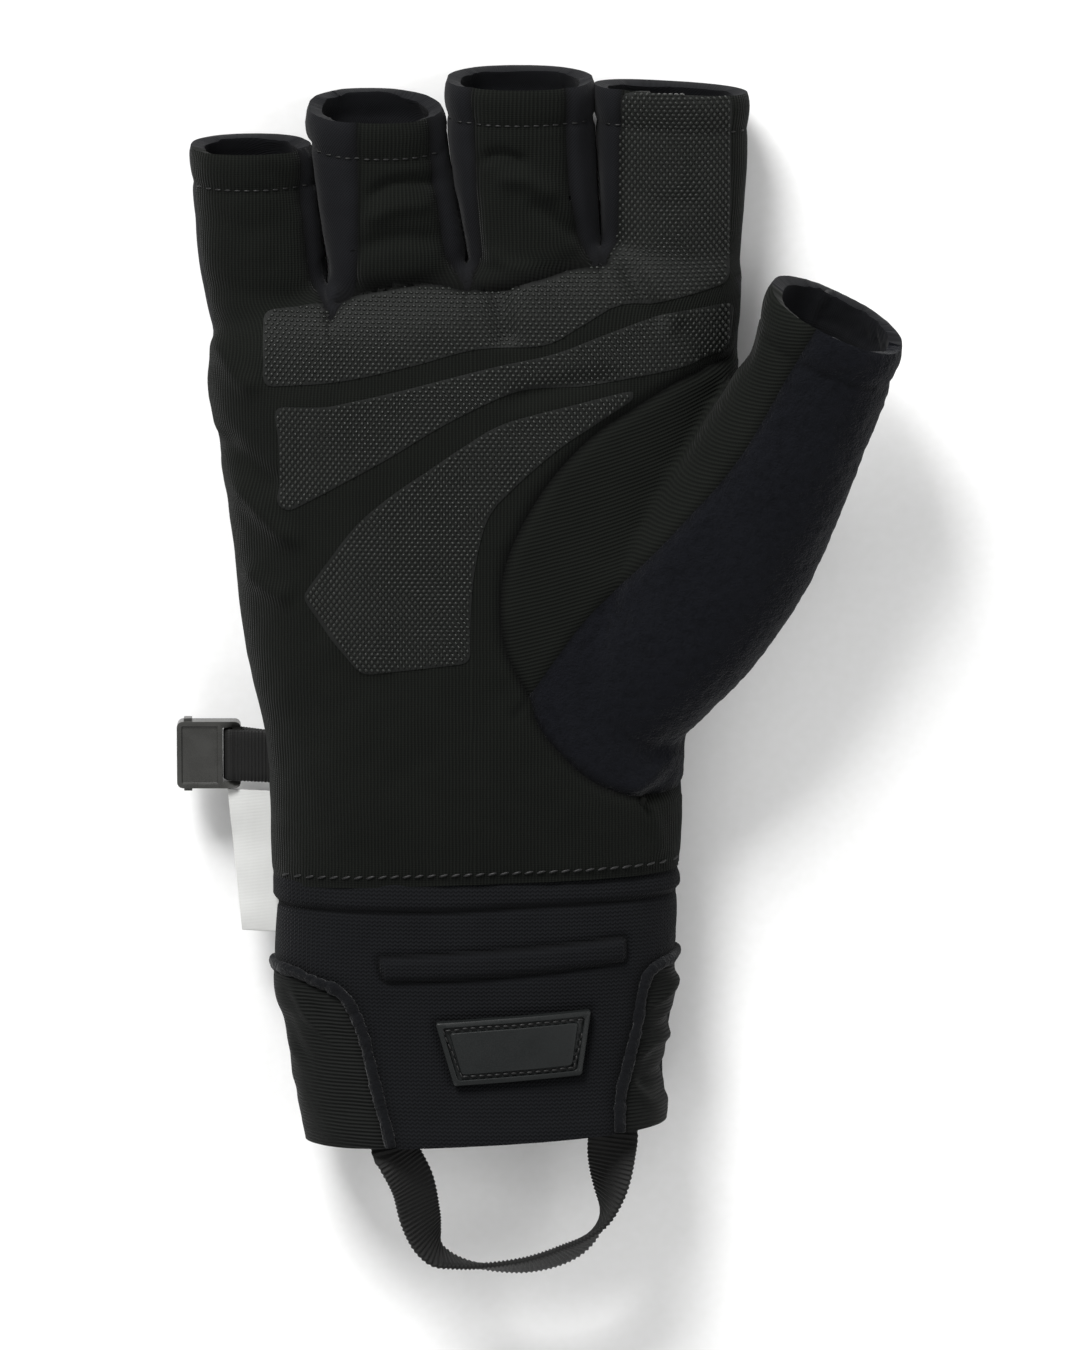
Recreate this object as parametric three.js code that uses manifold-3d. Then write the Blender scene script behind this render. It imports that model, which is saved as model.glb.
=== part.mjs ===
// A half-finger fishing glove for the right hand, lying on its back with the palm up.
// Millimetres. +Z is up, +Y points to the fingers, +X to the thumb.
// The origin is on the resting face of the back of the hand, under the middle of the palm.
import * as THREE from 'three';
import { mergeVertices } from 'three/addons/utils/BufferGeometryUtils.js';
import Module from 'manifold-3d';

const wasm = await Module();
wasm.setup();

// Driving sizes of the hand
const PALM_LENGTH = 125; // wrist seam to the crotch between middle and index finger
const PALM_WIDTH = 107; // across the knuckles
const PALM_THICKNESS = 30; // back of the hand to the palm
const KNUCKLE_SKEW = 0.147; // slope of the line of knuckles, which falls to the little finger
const WRIST_FROM_ORIGIN = 39; // from the middle of the palm down to the wrist seam
const FINGER_THICKNESS = 20.5;
const FINGER_LENGTH = 33; // past the crotch of the middle finger
const FINGER_ROOT = 22; // stretch of each finger tube that lies inside the hand
const THUMB_LENGTH = 92; // from its root in the palm to its open rim
const THUMB_WIDTH = 28;
const THUMB_THICKNESS = 24;
const THUMB_SPREAD = 30.3; // degrees between the thumb and the fingers
const THUMB_BOW = 5.6; // how far the thumb bends away from a straight line
const CUFF_LENGTH = 53;
const CUFF_WIDTH = 80;
const CUFF_THICKNESS = 32;

// Driving sizes of the cloth and the trim
const WALL = 1.8; // fleece-backed soft shell
const GAP = 0.3; // between sewn pieces
const SEAM_HEIGHT = 12; // side seam between palm and back
const GRIP_THICKNESS = 0.8;
const GRIP_CORNER = 2; // corner radius of the grip prints
const EMBOSS_HEIGHT = 0.8;
const PIPING_WIDTH = 2.6;
const PIPING_HEIGHT = 1.1;
const BADGE_WIDTH = 31.2;
const BADGE_LENGTH = 12.8;
const BADGE_HEIGHT = 1.8;
const BADGE_FRAME = 1.1;
const BADGE_GROOVE = 1.1;
const LOOP_WEBBING = 10; // width of the pull loop's webbing
const LOOP_LENGTH = 29; // how far the pull loop stands out of the hem
const LOOP_SPREAD = 43; // between the two legs
const WEBBING_THICKNESS = 1.1;
const STRAP_WIDTH = 10.4;
const STRAP_FROM_WRIST = 21.9; // middle of the buckle's strap, up from the wrist seam
const STRAP_REACH = 6.4; // side seam to the middle of the buckle's bar
const BUCKLE_LENGTH = 12.8;
const BUCKLE_THICKNESS = 4.6;
const BUCKLE_RAIL = 1.3;
const BUCKLE_BAR = 1.7;
const BUCKLE_SLOT = 2.4;
const LABEL_REACH = 8.3; // how far the woven label stands out of the side seam
const LABEL_LENGTH = 28.8;
const LABEL_THICKNESS = 0.8;

// Fineness of the faceted surfaces
const HAND_SIDES = 32;
const FINGER_SIDES = 16;
const THUMB_SIDES = 20;
const OVERRUN = 6; // how far a hollow or a cutter runs past what it opens
const TALL = 80; // height of the cutters
const SHORTEST_EDGE = 0.25; // shorter ones, which cuts leave, are closed up
const THINNEST_FACET = 0.03; // thinner ones are turned or closed up

// Builds rows with named columns.
function table(columns, ...rows) {
  return rows.map((row) => Object.fromEntries(columns.map((name, i) => [name, row[i]])));
}

// Sections of the hand. along is a share of PALM_LENGTH from the wrist seam, left and right are shares
// of PALM_WIDTH from the long axis, top is a share of PALM_THICKNESS and skew is the slope of the section.
const HAND_SECTIONS = table(
  ['along', 'left', 'right', 'top', 'skew'],
  [0.0, 0.505, 0.264, 0.98, -0.03],
  [0.09, 0.507, 0.265, 1.02, -0.02],
  [0.2, 0.513, 0.271, 1.03, 0.0],
  [0.35, 0.549, 0.292, 1.02, 0.0],
  [0.54, 0.576, 0.333, 1.0, 0.0],
  [0.72, 0.603, 0.364, 0.96, 0.04],
  [0.84, 0.62, 0.374, 0.91, 0.1],
  [0.92, 0.612, 0.372, 0.84, 0.14],
  [0.968, 0.596, 0.355, 0.7, 0.147],
  [0.986, 0.58, 0.34, 0.56, 0.147],
);

// Sections of the cuff, as shares of CUFF_LENGTH, CUFF_WIDTH and CUFF_THICKNESS.
const CUFF_SECTIONS = table(
  ['along', 'left', 'right', 'top', 'skew'],
  [0.0, 0.66, 0.34, 0.87, -0.03],
  [0.14, 0.662, 0.343, 0.9, -0.02],
  [0.42, 0.67, 0.343, 0.92, 0.01],
  [0.47, 0.668, 0.345, 0.92, 0.015],
  [0.58, 0.648, 0.333, 0.93, 0.03],
  [0.78, 0.62, 0.31, 0.96, 0.045],
  [1.0, 0.592, 0.32, 1.0, 0.057],
);

// The two sides of each finger tube from its root inside the hand to its open rim, as shares of
// PALM_WIDTH from the long axis. Neighbouring tubes meet below the crotch and stay apart above it.
const LITTLE_FINGER = table(
  ['along', 'left', 'right'],
  [0.0, -0.575, -0.37],
  [0.47, -0.63, -0.3953],
  [0.75, -0.643, -0.4118],
  [1.0, -0.654, -0.4262],
);
const RING_FINGER = table(
  ['along', 'left', 'right'],
  [0.0, -0.37, -0.13],
  [0.4, -0.3925, -0.133],
  [0.72, -0.413, -0.1605],
  [1.0, -0.4315, -0.184],
);
const MIDDLE_FINGER = table(
  ['along', 'left', 'right'],
  [0.0, -0.125, 0.12],
  [0.4, -0.1337, 0.111],
  [0.72, -0.1635, 0.103],
  [1.0, -0.172, 0.0953],
);
const INDEX_FINGER = table(
  ['along', 'left', 'right'],
  [0.0, 0.125, 0.35],
  [0.4, 0.1168, 0.373],
  [0.72, 0.1085, 0.385],
  [1.0, 0.102, 0.387],
);
// Reach past the crotch as a share of FINGER_LENGTH, depth of FINGER_THICKNESS. slant and tilt are the
// slopes of the open rim upwards and across.
const FINGERS = table(
  ['name', 'sides', 'reach', 'depth', 'slant', 'tilt'],
  ['little', LITTLE_FINGER, 0.61, 0.92, -0.12, 0.01],
  ['ring', RING_FINGER, 0.845, 1.0, -0.24, -0.02],
  ['middle', MIDDLE_FINGER, 1.015, 1.02, -0.14, 0.0],
  ['index', INDEX_FINGER, 0.955, 0.98, -0.03, -0.06],
);
// Depth along a finger, which is drawn in a little at the hem's stitches, and the height of its underside.
// Both are shares of FINGER_THICKNESS.
const FINGER_PROFILE = table(
  ['along', 'girth', 'low'],
  [0.0, 0.78, 0.22],
  [0.25, 0.9, 0.08],
  [0.5, 0.985, -0.01],
  [0.8, 0.965, 0.03],
  [1.0, 1.0, 0.05],
);

// Sections of the thumb, as shares of THUMB_LENGTH, PALM_THICKNESS, THUMB_WIDTH and THUMB_THICKNESS.
const THUMB_ROOT = { across: 0.112, along: 0.273 };
const THUMB_RIM_SLANT = -0.2; // slope of the open rim upwards
const THUMB_RIM_TILT = -0.15; // and across
const THUMB_SECTIONS = table(
  ['along', 'lift', 'width', 'depth'],
  [0.0, 0.53, 1.16, 1.06],
  [0.18, 0.6, 1.28, 1.12],
  [0.4, 0.69, 1.31, 1.1],
  [0.61, 0.79, 1.18, 1.04],
  [0.8, 0.88, 1.06, 1.0],
  [0.9, 0.93, 1.04, 0.98],
  [1.0, 0.97, 1.03, 1.0],
);

// Outlines drawn on the palm. Each is a list of sides that meet at corners, each side a list of points
// [across, along] as shares of PALM_WIDTH and PALM_LENGTH from the wrist seam.
const GRIP_BAND = [
  [[-0.512, 0.787], [-0.374, 0.798], [-0.236, 0.824], [-0.121, 0.85], [0.007, 0.857], [0.069, 0.883],
    [0.144, 0.918], [0.215, 0.922], [0.28, 0.933], [0.35, 0.949]],
  [[0.35, 0.949], [0.352, 1.1], [0.352, 1.252]],
  [[0.352, 1.252], [0.151, 1.252]],
  [[0.151, 1.252], [0.143, 1.14], [0.136, 1.029], [0.129, 0.983]],
  [[0.129, 0.983], [0.056, 0.97], [-0.019, 0.951], [-0.112, 0.941], [-0.206, 0.946], [-0.374, 0.922],
    [-0.512, 0.904]],
  [[-0.512, 0.904], [-0.512, 0.787]],
];
const GRIP_MIDDLE = [
  [[-0.465, 0.59], [-0.366, 0.637], [-0.277, 0.68], [-0.187, 0.727], [-0.097, 0.766], [-0.026, 0.788],
    [0.082, 0.792], [0.172, 0.805], [0.262, 0.819], [0.35, 0.844]],
  [[0.35, 0.844], [0.358, 0.918]],
  [[0.358, 0.918], [0.226, 0.902], [0.127, 0.875], [0.028, 0.844], [-0.079, 0.824], [-0.168, 0.805],
    [-0.258, 0.785], [-0.348, 0.767], [-0.402, 0.758], [-0.492, 0.756]],
  [[-0.492, 0.756], [-0.482, 0.676], [-0.488, 0.6]],
  [[-0.488, 0.6], [-0.465, 0.59]],
];
const GRIP_LOWER = [
  [[-0.331, 0.332], [-0.232, 0.342], [-0.129, 0.353]],
  [[-0.129, 0.353], [-0.128, 0.43], [-0.12, 0.504], [-0.097, 0.582], [-0.052, 0.629], [0.028, 0.689],
    [0.101, 0.731], [0.172, 0.77]],
  [[0.172, 0.77], [0.172, 0.785]],
  [[0.172, 0.785], [0.082, 0.767], [-0.062, 0.735], [-0.133, 0.702], [-0.206, 0.66], [-0.277, 0.618],
    [-0.34, 0.571], [-0.393, 0.512], [-0.441, 0.454]],
  [[-0.441, 0.454], [-0.385, 0.387], [-0.331, 0.332]],
];
// Where the thumb's cloth is sewn to the palm, from the index finger round the ball of the thumb.
const THUMB_SEAM = [
  [0.405, 1.02], [0.392, 0.93], [0.384, 0.87], [0.36, 0.832], [0.262, 0.798], [0.172, 0.754], [0.101, 0.715], [0.028, 0.652],
  [-0.026, 0.582], [-0.062, 0.512], [-0.073, 0.442], [-0.065, 0.379], [-0.043, 0.332], [-0.017, 0.293],
  [-0.005, 0.255], [0.028, 0.215], [0.082, 0.169], [0.136, 0.142], [0.198, 0.128], [0.3, 0.134],
];
// Where the fleece patch meets the ribbed side of the thumb: shares of THUMB_LENGTH and THUMB_WIDTH.
const FLEECE_EDGE = table(
  ['along', 'offset'],
  [-0.1, -0.52],
  [-0.04, -0.49],
  [0.147, -0.425],
  [0.34, -0.257],
  [0.465, -0.175],
  [0.64, -0.093],
  [0.86, -0.107],
  [1.2, -0.11],
);
// Lower edge of the cloth over the fronts of the ring and middle fingers, on the palm's shares.
const FINGER_BASE_SEAM = [
  [-0.379, 0.921], [-0.327, 0.935], [-0.265, 0.943], [-0.206, 0.948], [-0.112, 0.941], [-0.022, 0.95],
  [0.052, 0.971], [0.124, 0.983],
];
// Strips of cloth down one finger's side, round the crotch and up the next finger's side. The two edges
// and the tip in the crotch are on the palm's shares.
const FOURCHETTES = [
  { name: 'fourchette_little_ring', right: [[-0.345, 0.944], [-0.337, 1.08], [-0.342, 1.3]],
    left: [[-0.45, 1.3], [-0.437, 1.06], [-0.421, 0.952]], tip: [-0.388, 0.892] },
  { name: 'fourchette_ring_middle', right: [[-0.112, 0.99], [-0.12, 1.1], [-0.131, 1.3]],
    left: [[-0.212, 1.3], [-0.194, 1.115], [-0.172, 0.99]], tip: [-0.137, 0.944] },
  { name: 'fourchette_middle_index', right: [[0.138, 1.009], [0.144, 1.115], [0.15, 1.3]],
    left: [[0.047, 1.3], [0.055, 1.115], [0.08, 1.009]], tip: [0.108, 0.972] },
];

// Outlines drawn on the cuff, as shares of CUFF_WIDTH and of CUFF_LENGTH down from the wrist seam.
const PIPING_LEFT = [
  [-0.7, 0.378], [-0.62, 0.38], [-0.57, 0.402], [-0.51, 0.433], [-0.475, 0.487], [-0.44, 0.612],
  [-0.41, 0.8], [-0.375, 1.003], [-0.36, 1.12],
];
const PIPING_RIGHT = [
  [0.37, 0.331], [0.29, 0.362], [0.26, 0.425], [0.24, 0.597], [0.215, 0.753], [0.2, 0.862], [0.2, 1.12],
];
const EMBOSSED_BAR = [
  [[-0.39, 0.394], [-0.12, 0.372], [0.215, 0.323]],
  [[0.215, 0.323], [0.215, 0.235]],
  [[0.215, 0.235], [-0.1, 0.275], [-0.405, 0.305]],
  [[-0.405, 0.305], [-0.39, 0.394]],
];
const EMBOSSED_BAND = [
  [[-0.62, 0.128], [-0.25, 0.12], [0.0, 0.1], [0.32, 0.081]],
  [[0.32, 0.081], [0.32, 0.03]],
  [[0.32, 0.03], [0.0, 0.045], [-0.25, 0.058], [-0.62, 0.065]],
  [[-0.62, 0.065], [-0.62, 0.128]],
];
const BADGE_PLACE = { across: -0.061, along: 0.643, turn: 4.2 };
const BADGE_TAPER = 0.18; // share by which the badge is narrower at its hem side

// Wrist seam as [across, along] on the palm's shares: it runs a little down to the little finger's side.
const WRIST_SEAM = [[-0.7, -0.022], [-0.35, -0.008], [0.0, 0.004], [0.5, 0.014]];

// Derived places
const WRIST_Y = -WRIST_FROM_ORIGIN;
const CROTCH_Y = WRIST_Y + PALM_LENGTH;
const onPalm = ([across, along]) => new THREE.Vector2(across * PALM_WIDTH, WRIST_Y + along * PALM_LENGTH);
const onCuff = ([across, along]) => new THREE.Vector2(across * CUFF_WIDTH, WRIST_Y - along * CUFF_LENGTH);

// The value of one column at any share along a table, on a smooth curve through its rows.
function readTable(rows, column, share) {
  let i = 0;
  while (i < rows.length - 2 && share > rows[i + 1].along) i += 1;
  const slope = (k) => {
    const before = rows[Math.max(k - 1, 0)];
    const after = rows[Math.min(k + 1, rows.length - 1)];
    return (after[column] - before[column]) / (after.along - before.along);
  };
  const from = rows[i];
  const to = rows[i + 1];
  const span = to.along - from.along;
  const t = THREE.MathUtils.clamp((share - from.along) / span, 0, 1);
  const rise = t * t * (3 - 2 * t);
  const bend = t * (1 - t) * span;
  return THREE.MathUtils.lerp(from[column], to[column], rise)
    + bend * ((1 - t) * slope(i) - t * slope(i + 1));
}

const signedPower = (value, power) => Math.sign(value) * Math.abs(value) ** power;

// Unit outline of a section: a full oval, rounder above the side seam than below it.
function unitOval(sides, roundness) {
  const points = [];
  for (let k = 0; k < sides; k += 1) {
    const angle = (2 * Math.PI * k) / sides;
    points.push([
      signedPower(Math.cos(angle), 2 / roundness),
      signedPower(Math.sin(angle), 2 / roundness),
    ]);
  }
  return points;
}

// Joins rings of points into one closed body, with a fan over each end.
function loft(rings) {
  const sides = rings[0].length;
  const vertices = [];
  const triangles = [];
  rings.forEach((ring) => ring.forEach((p) => vertices.push(p.x, p.y, p.z)));
  for (let r = 0; r < rings.length - 1; r += 1) {
    for (let k = 0; k < sides; k += 1) {
      const a = r * sides + k;
      const b = r * sides + ((k + 1) % sides);
      triangles.push(a, b + sides, b, a, a + sides, b + sides);
    }
  }
  [0, rings.length - 1].forEach((r) => {
    const middle = rings[r].reduce((sum, p) => sum.add(p), new THREE.Vector3()).divideScalar(sides);
    const centre = vertices.length / 3;
    vertices.push(middle.x, middle.y, middle.z);
    for (let k = 0; k < sides; k += 1) {
      const a = r * sides + k;
      const b = r * sides + ((k + 1) % sides);
      if (r === 0) triangles.push(centre, a, b);
      else triangles.push(centre, b, a);
    }
  });
  return solid(vertices, triangles);
}

// A manifold-3d solid from plain lists, turned so that its faces point out.
function solid(vertices, triangles) {
  const make = (order) => new wasm.Manifold(new wasm.Mesh({
    numProp: 3,
    vertProperties: new Float32Array(vertices),
    triVerts: new Uint32Array(order),
  }));
  const made = make(triangles);
  if (made.volume() > 0) return made;
  const turned = [];
  for (let i = 0; i < triangles.length; i += 3) {
    turned.push(triangles[i], triangles[i + 2], triangles[i + 1]);
  }
  return make(turned);
}

// A manifold-3d solid from a closed three.js geometry.
function solidOf(geometry) {
  const bare = geometry.index ? geometry.toNonIndexed() : geometry.clone();
  bare.deleteAttribute('normal');
  bare.deleteAttribute('uv');
  const merged = mergeVertices(bare, 1e-4);
  return solid(Array.from(merged.attributes.position.array), Array.from(merged.index.array));
}

// An upright prism over a flat outline, between two heights.
function prism(outline, low = -TALL, high = TALL) {
  const shape = new THREE.Shape(outline);
  const geometry = new THREE.ExtrudeGeometry(shape, { depth: high - low, bevelEnabled: false });
  geometry.translate(0, 0, low);
  return solidOf(geometry);
}

// Moves every point of a closed outline outwards by a distance, or inwards by a negative one.
function offset(outline, distance) {
  const turn = THREE.ShapeUtils.area(outline) > 0 ? 1 : -1;
  return outline.map((point, i) => {
    const before = outline[(i + outline.length - 1) % outline.length];
    const after = outline[(i + 1) % outline.length];
    const into = point.clone().sub(before).normalize();
    const out = after.clone().sub(point).normalize();
    const along = into.add(out).normalize();
    return new THREE.Vector2(along.y, -along.x).multiplyScalar(turn * distance).add(point);
  });
}

// A closed outline whose sides are smooth curves and whose corners are rounded.
function outlineOf(sides, place, radius, spacing = 7) {
  const curves = sides.map((side) => new THREE.SplineCurve(side.map(place)));
  const cut = curves.map((curve) => Math.min(radius / curve.getLength(), 0.35));
  return curves.flatMap((curve, i) => {
    const next = (i + 1) % curves.length;
    const steps = Math.max(1, Math.round(curve.getLength() / spacing));
    const run = [];
    for (let k = 0; k <= steps; k += 1) {
      run.push(curve.getPointAt(THREE.MathUtils.lerp(cut[i], 1 - cut[i], k / steps)));
    }
    const corner = new THREE.QuadraticBezierCurve(
      run[run.length - 1],
      curve.getPoint(1),
      curves[next].getPointAt(cut[next]),
    );
    return [...run, ...corner.getPoints(3).slice(1, -1)];
  });
}

// Points on a smooth line through a few points.
function smoothLine(points, place, spacing = 6) {
  const curve = new THREE.SplineCurve(points.map(place));
  return curve.getSpacedPoints(Math.max(2, Math.round(curve.getLength() / spacing)));
}

// A narrow strip on both sides of a line.
function stripAlong(line, width) {
  const side = (sign) => line.map((point, i) => {
    const before = line[Math.max(i - 1, 0)];
    const after = line[Math.min(i + 1, line.length - 1)];
    const along = after.clone().sub(before).normalize();
    return new THREE.Vector2(-along.y, along.x).multiplyScalar((sign * width) / 2).add(point);
  });
  return [...side(1), ...side(-1).reverse()];
}

const HAND_OVAL = unitOval(HAND_SIDES, 2.5);
const FINGER_OVAL = unitOval(FINGER_SIDES, 2.3);
const THUMB_OVAL = unitOval(THUMB_SIDES, 2.2);

// One section of the hand or cuff across the long axis, grown by a distance on every side
// and flattened where it rests.
function handRing({ y, left, right, top, skew }, growth) {
  const middle = (right - left) / 2;
  const half = (right + left) / 2 + growth;
  const low = -growth - 1;
  const high = top + growth;
  return HAND_OVAL.map(([u, v]) => {
    const x = middle + half * u;
    const z = SEAM_HEIGHT + v * (v > 0 ? high - SEAM_HEIGHT : SEAM_HEIGHT - low);
    return new THREE.Vector3(x, y + skew * x, Math.max(z, -growth));
  });
}

// The form of the palm and cuff. An open one is the hollow, which runs out past the hem.
function palmForm(growth, open) {
  const rings = [];
  const cuff = CUFF_SECTIONS.slice().reverse();
  cuff.forEach((row, i) => {
    const section = {
      y: WRIST_Y - row.along * CUFF_LENGTH,
      left: row.left * CUFF_WIDTH,
      right: row.right * CUFF_WIDTH,
      top: row.top * CUFF_THICKNESS,
      skew: row.skew,
    };
    if (open && i === 0) rings.push(handRing({ ...section, y: section.y - OVERRUN }, growth));
    rings.push(handRing(section, growth));
  });
  HAND_SECTIONS.forEach((row, i) => {
    const y = WRIST_Y + row.along * (PALM_LENGTH + growth) + (i === 0 ? GAP : 0);
    rings.push(handRing({
      y,
      left: row.left * PALM_WIDTH,
      right: row.right * PALM_WIDTH,
      top: row.top * PALM_THICKNESS,
      skew: row.skew,
    }, growth));
  });
  return loft(rings);
}

// The form of one finger tube, from its root inside the hand to its slanted rim.
function fingerForm(finger, growth, open) {
  const rimY = CROTCH_Y + finger.reach * FINGER_LENGTH;
  const rootY = CROTCH_Y - FINGER_ROOT + KNUCKLE_SKEW * finger.sides[0].left * PALM_WIDTH;
  const rings = [0, 0.25, 0.5, 0.8, 1].map((share) => {
    const left = readTable(finger.sides, 'left', share) * PALM_WIDTH;
    const right = readTable(finger.sides, 'right', share) * PALM_WIDTH;
    const x = (left + right) / 2;
    const width = (right - left) / 2 + growth;
    const depth = finger.depth * FINGER_THICKNESS * readTable(FINGER_PROFILE, 'girth', share);
    const low = FINGER_THICKNESS * readTable(FINGER_PROFILE, 'low', share);
    const high = low + depth + growth;
    const waist = low + depth / 2;
    const y = THREE.MathUtils.lerp(rootY, rimY, share);
    return FINGER_OVAL.map(([u, v]) => {
      const z = Math.max(waist + v * (v > 0 ? high - waist : waist - low + growth), -growth);
      const lean = finger.slant * (z - waist) + finger.tilt * width * u;
      return new THREE.Vector3(x + width * u, y + share * lean, z);
    });
  });
  if (open) rings.push(rings[rings.length - 1].map((p) => p.clone().setY(p.y + OVERRUN)));
  return loft(rings);
}

// The thumb's own frame: a chord from its root that rises to the rim, and how far it bows outwards.
const thumbTurn = THREE.MathUtils.degToRad(THUMB_SPREAD);
const thumbAlong = new THREE.Vector3(Math.sin(thumbTurn), Math.cos(thumbTurn), 0);
const thumbAcross = new THREE.Vector3(Math.cos(thumbTurn), -Math.sin(thumbTurn), 0);
const thumbRoot = onPalm([THUMB_ROOT.across, THUMB_ROOT.along]);

function thumbPoint(along, offsetAcross, height) {
  return new THREE.Vector3(thumbRoot.x, thumbRoot.y, height)
    .addScaledVector(thumbAlong, along * THUMB_LENGTH)
    .addScaledVector(thumbAcross, offsetAcross);
}

function thumbForm(growth, open) {
  const centre = (share) => thumbPoint(
    share,
    THUMB_BOW * 4 * share * (1 - share),
    readTable(THUMB_SECTIONS, 'lift', share) * PALM_THICKNESS,
  );
  const rings = THUMB_SECTIONS.map(({ along, width, depth }) => {
    const point = centre(along);
    const ahead = centre(along + 0.02).sub(centre(along - 0.02)).normalize();
    const side = ahead.clone().cross(new THREE.Vector3(0, 0, 1)).normalize();
    const up = side.clone().cross(ahead);
    return THUMB_OVAL.map(([u, v]) => {
      const rise = v * ((depth * THUMB_THICKNESS) / 2 + growth);
      const reach = u * ((width * THUMB_WIDTH) / 2 + growth);
      return point.clone()
        .addScaledVector(side, reach)
        .addScaledVector(up, rise)
        .addScaledVector(ahead, along * (THUMB_RIM_SLANT * rise + THUMB_RIM_TILT * reach));
    });
  });
  if (open) {
    rings.push(rings[rings.length - 1].map((p) => p.clone().addScaledVector(thumbAlong, OVERRUN)));
  }
  return loft(rings);
}

// The whole hand as one form, grown by a distance.
function handForm(growth, open = false) {
  const tubes = FINGERS.map((finger) => fingerForm(finger, growth, open));
  return wasm.Manifold.union([palmForm(growth, open), ...tubes, thumbForm(growth, open)]);
}

const outerForm = handForm(0);
const clearForm = handForm(GAP);
const shell = outerForm.subtract(handForm(-WALL, true));

// A layer that lies over the cloth, between two heights above it.
const layer = (height) => handForm(GAP + height).subtract(clearForm);
const aboveSeam = [0, 0, 1];
const topOf = (body, height = SEAM_HEIGHT) => body.trimByPlane(aboveSeam, height);

// Cutters for the palm side and the back, with the side seam between them.
const half = GAP / 2;
const wristLine = smoothLine(WRIST_SEAM, onPalm, 12);
const far = PALM_WIDTH + THUMB_LENGTH;
const handSide = (shift) => prism([
  ...wristLine.map((p) => new THREE.Vector2(p.x, p.y + shift)),
  new THREE.Vector2(far, wristLine[wristLine.length - 1].y + shift),
  new THREE.Vector2(far, far),
  new THREE.Vector2(-far, far),
  new THREE.Vector2(-far, wristLine[0].y + shift),
]);
const cuffSide = (shift) => prism([
  ...wristLine.map((p) => new THREE.Vector2(p.x, p.y - shift)),
  new THREE.Vector2(far, wristLine[wristLine.length - 1].y - shift),
  new THREE.Vector2(far, -far),
  new THREE.Vector2(-far, -far),
  new THREE.Vector2(-far, wristLine[0].y - shift),
]);

// The space under the thumb: right of the hand's edge and below the thumb's middle plane.
function underThumb(shift) {
  const edge = HAND_SECTIONS.filter(({ along }) => along > 0.1 && along < 0.95)
    .map(({ along, right }) => onPalm([right, along]).add(new THREE.Vector2(GAP - shift, 0)));
  const outline = [
    new THREE.Vector2(edge[0].x, edge[0].y - THUMB_WIDTH),
    ...edge,
    new THREE.Vector2(edge[edge.length - 1].x, far),
    new THREE.Vector2(far, far),
    new THREE.Vector2(far, edge[0].y - THUMB_WIDTH),
  ];
  const [first] = THUMB_SECTIONS;
  const last = THUMB_SECTIONS[THUMB_SECTIONS.length - 1];
  const climb = Math.atan2((last.lift - first.lift) * PALM_THICKNESS, THUMB_LENGTH);
  const down = thumbAlong.clone().multiplyScalar(Math.sin(climb));
  down.z = -Math.cos(climb);
  const start = thumbPoint(0, 0, first.lift * PALM_THICKNESS);
  return prism(outline).trimByPlane(down.toArray(), down.dot(start) - shift);
}

const palmGroup = topOf(shell, SEAM_HEIGHT + half).subtract(underThumb(half));
const backGroup = shell.trimByPlane([0, 0, -1], half - SEAM_HEIGHT).subtract(underThumb(half));
const handTop = palmGroup.intersect(handSide(half));
const cuffTop = palmGroup.intersect(cuffSide(half));

// Thumb: everything right of the seam round the ball of the thumb
const seamLine = smoothLine(THUMB_SEAM, onPalm, 7);
const thumbOutline = [
  ...seamLine,
  new THREE.Vector2(far, seamLine[seamLine.length - 1].y),
  new THREE.Vector2(far, far),
  new THREE.Vector2(seamLine[0].x, far),
];
const thumbTop = handTop.intersect(prism(offset(thumbOutline, -half)));
const fleeceEdge = FLEECE_EDGE.map(({ along, offset: across }) => {
  const point = thumbPoint(along, across * THUMB_WIDTH, 0);
  return new THREE.Vector2(point.x, point.y);
});
const fleeceOutline = [
  ...fleeceEdge,
  new THREE.Vector2(far, far),
  new THREE.Vector2(far, -far),
  new THREE.Vector2(fleeceEdge[0].x, -far),
];

// Strips between the fingers
const fourchetteLow = FINGER_THICKNESS * 0.14;
const fourchetteOutlines = FOURCHETTES.map(({ name, left, right, tip }) => ({
  name,
  outline: [...smoothLine(right, onPalm, 8), ...smoothLine(left, onPalm, 8), onPalm(tip)],
}));
const fourchetteCutter = wasm.Manifold.union(
  fourchetteOutlines.map(({ outline }) => prism(offset(outline, half), fourchetteLow)),
);

// Cloth over the fronts of the ring and middle fingers
const baseSeam = smoothLine(FINGER_BASE_SEAM, onPalm, 8);
const fingerFront = [
  ...baseSeam,
  new THREE.Vector2(baseSeam[baseSeam.length - 1].x, far),
  new THREE.Vector2(baseSeam[0].x, far),
];

const palmOnly = handTop.subtract(prism(offset(thumbOutline, half))).subtract(fourchetteCutter);

// Cuff: a trapezoid of knit between two piped seams, with an elastic gusset at each side
const pipingLeft = smoothLine(PIPING_LEFT, onCuff);
const pipingRight = smoothLine(PIPING_RIGHT, onCuff);
const pipingStrip = (line, width) => prism(stripAlong(line, width));
const pipingCutter = wasm.Manifold.union([
  pipingStrip(pipingLeft, PIPING_WIDTH + 2 * GAP),
  pipingStrip(pipingRight, PIPING_WIDTH + 2 * GAP),
]);
const gussetOutline = (line) => {
  const side = Math.sign(line[0].x) * far;
  return [
    ...line,
    new THREE.Vector2(line[line.length - 1].x, -far),
    new THREE.Vector2(side, -far),
    new THREE.Vector2(side, line[0].y),
  ];
};
const gussetCutter = (line) => prism(gussetOutline(line));
const cuffPanels = cuffTop.subtract(pipingCutter);
const knitForm = cuffPanels.subtract(gussetCutter(pipingLeft)).subtract(gussetCutter(pipingRight));

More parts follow.
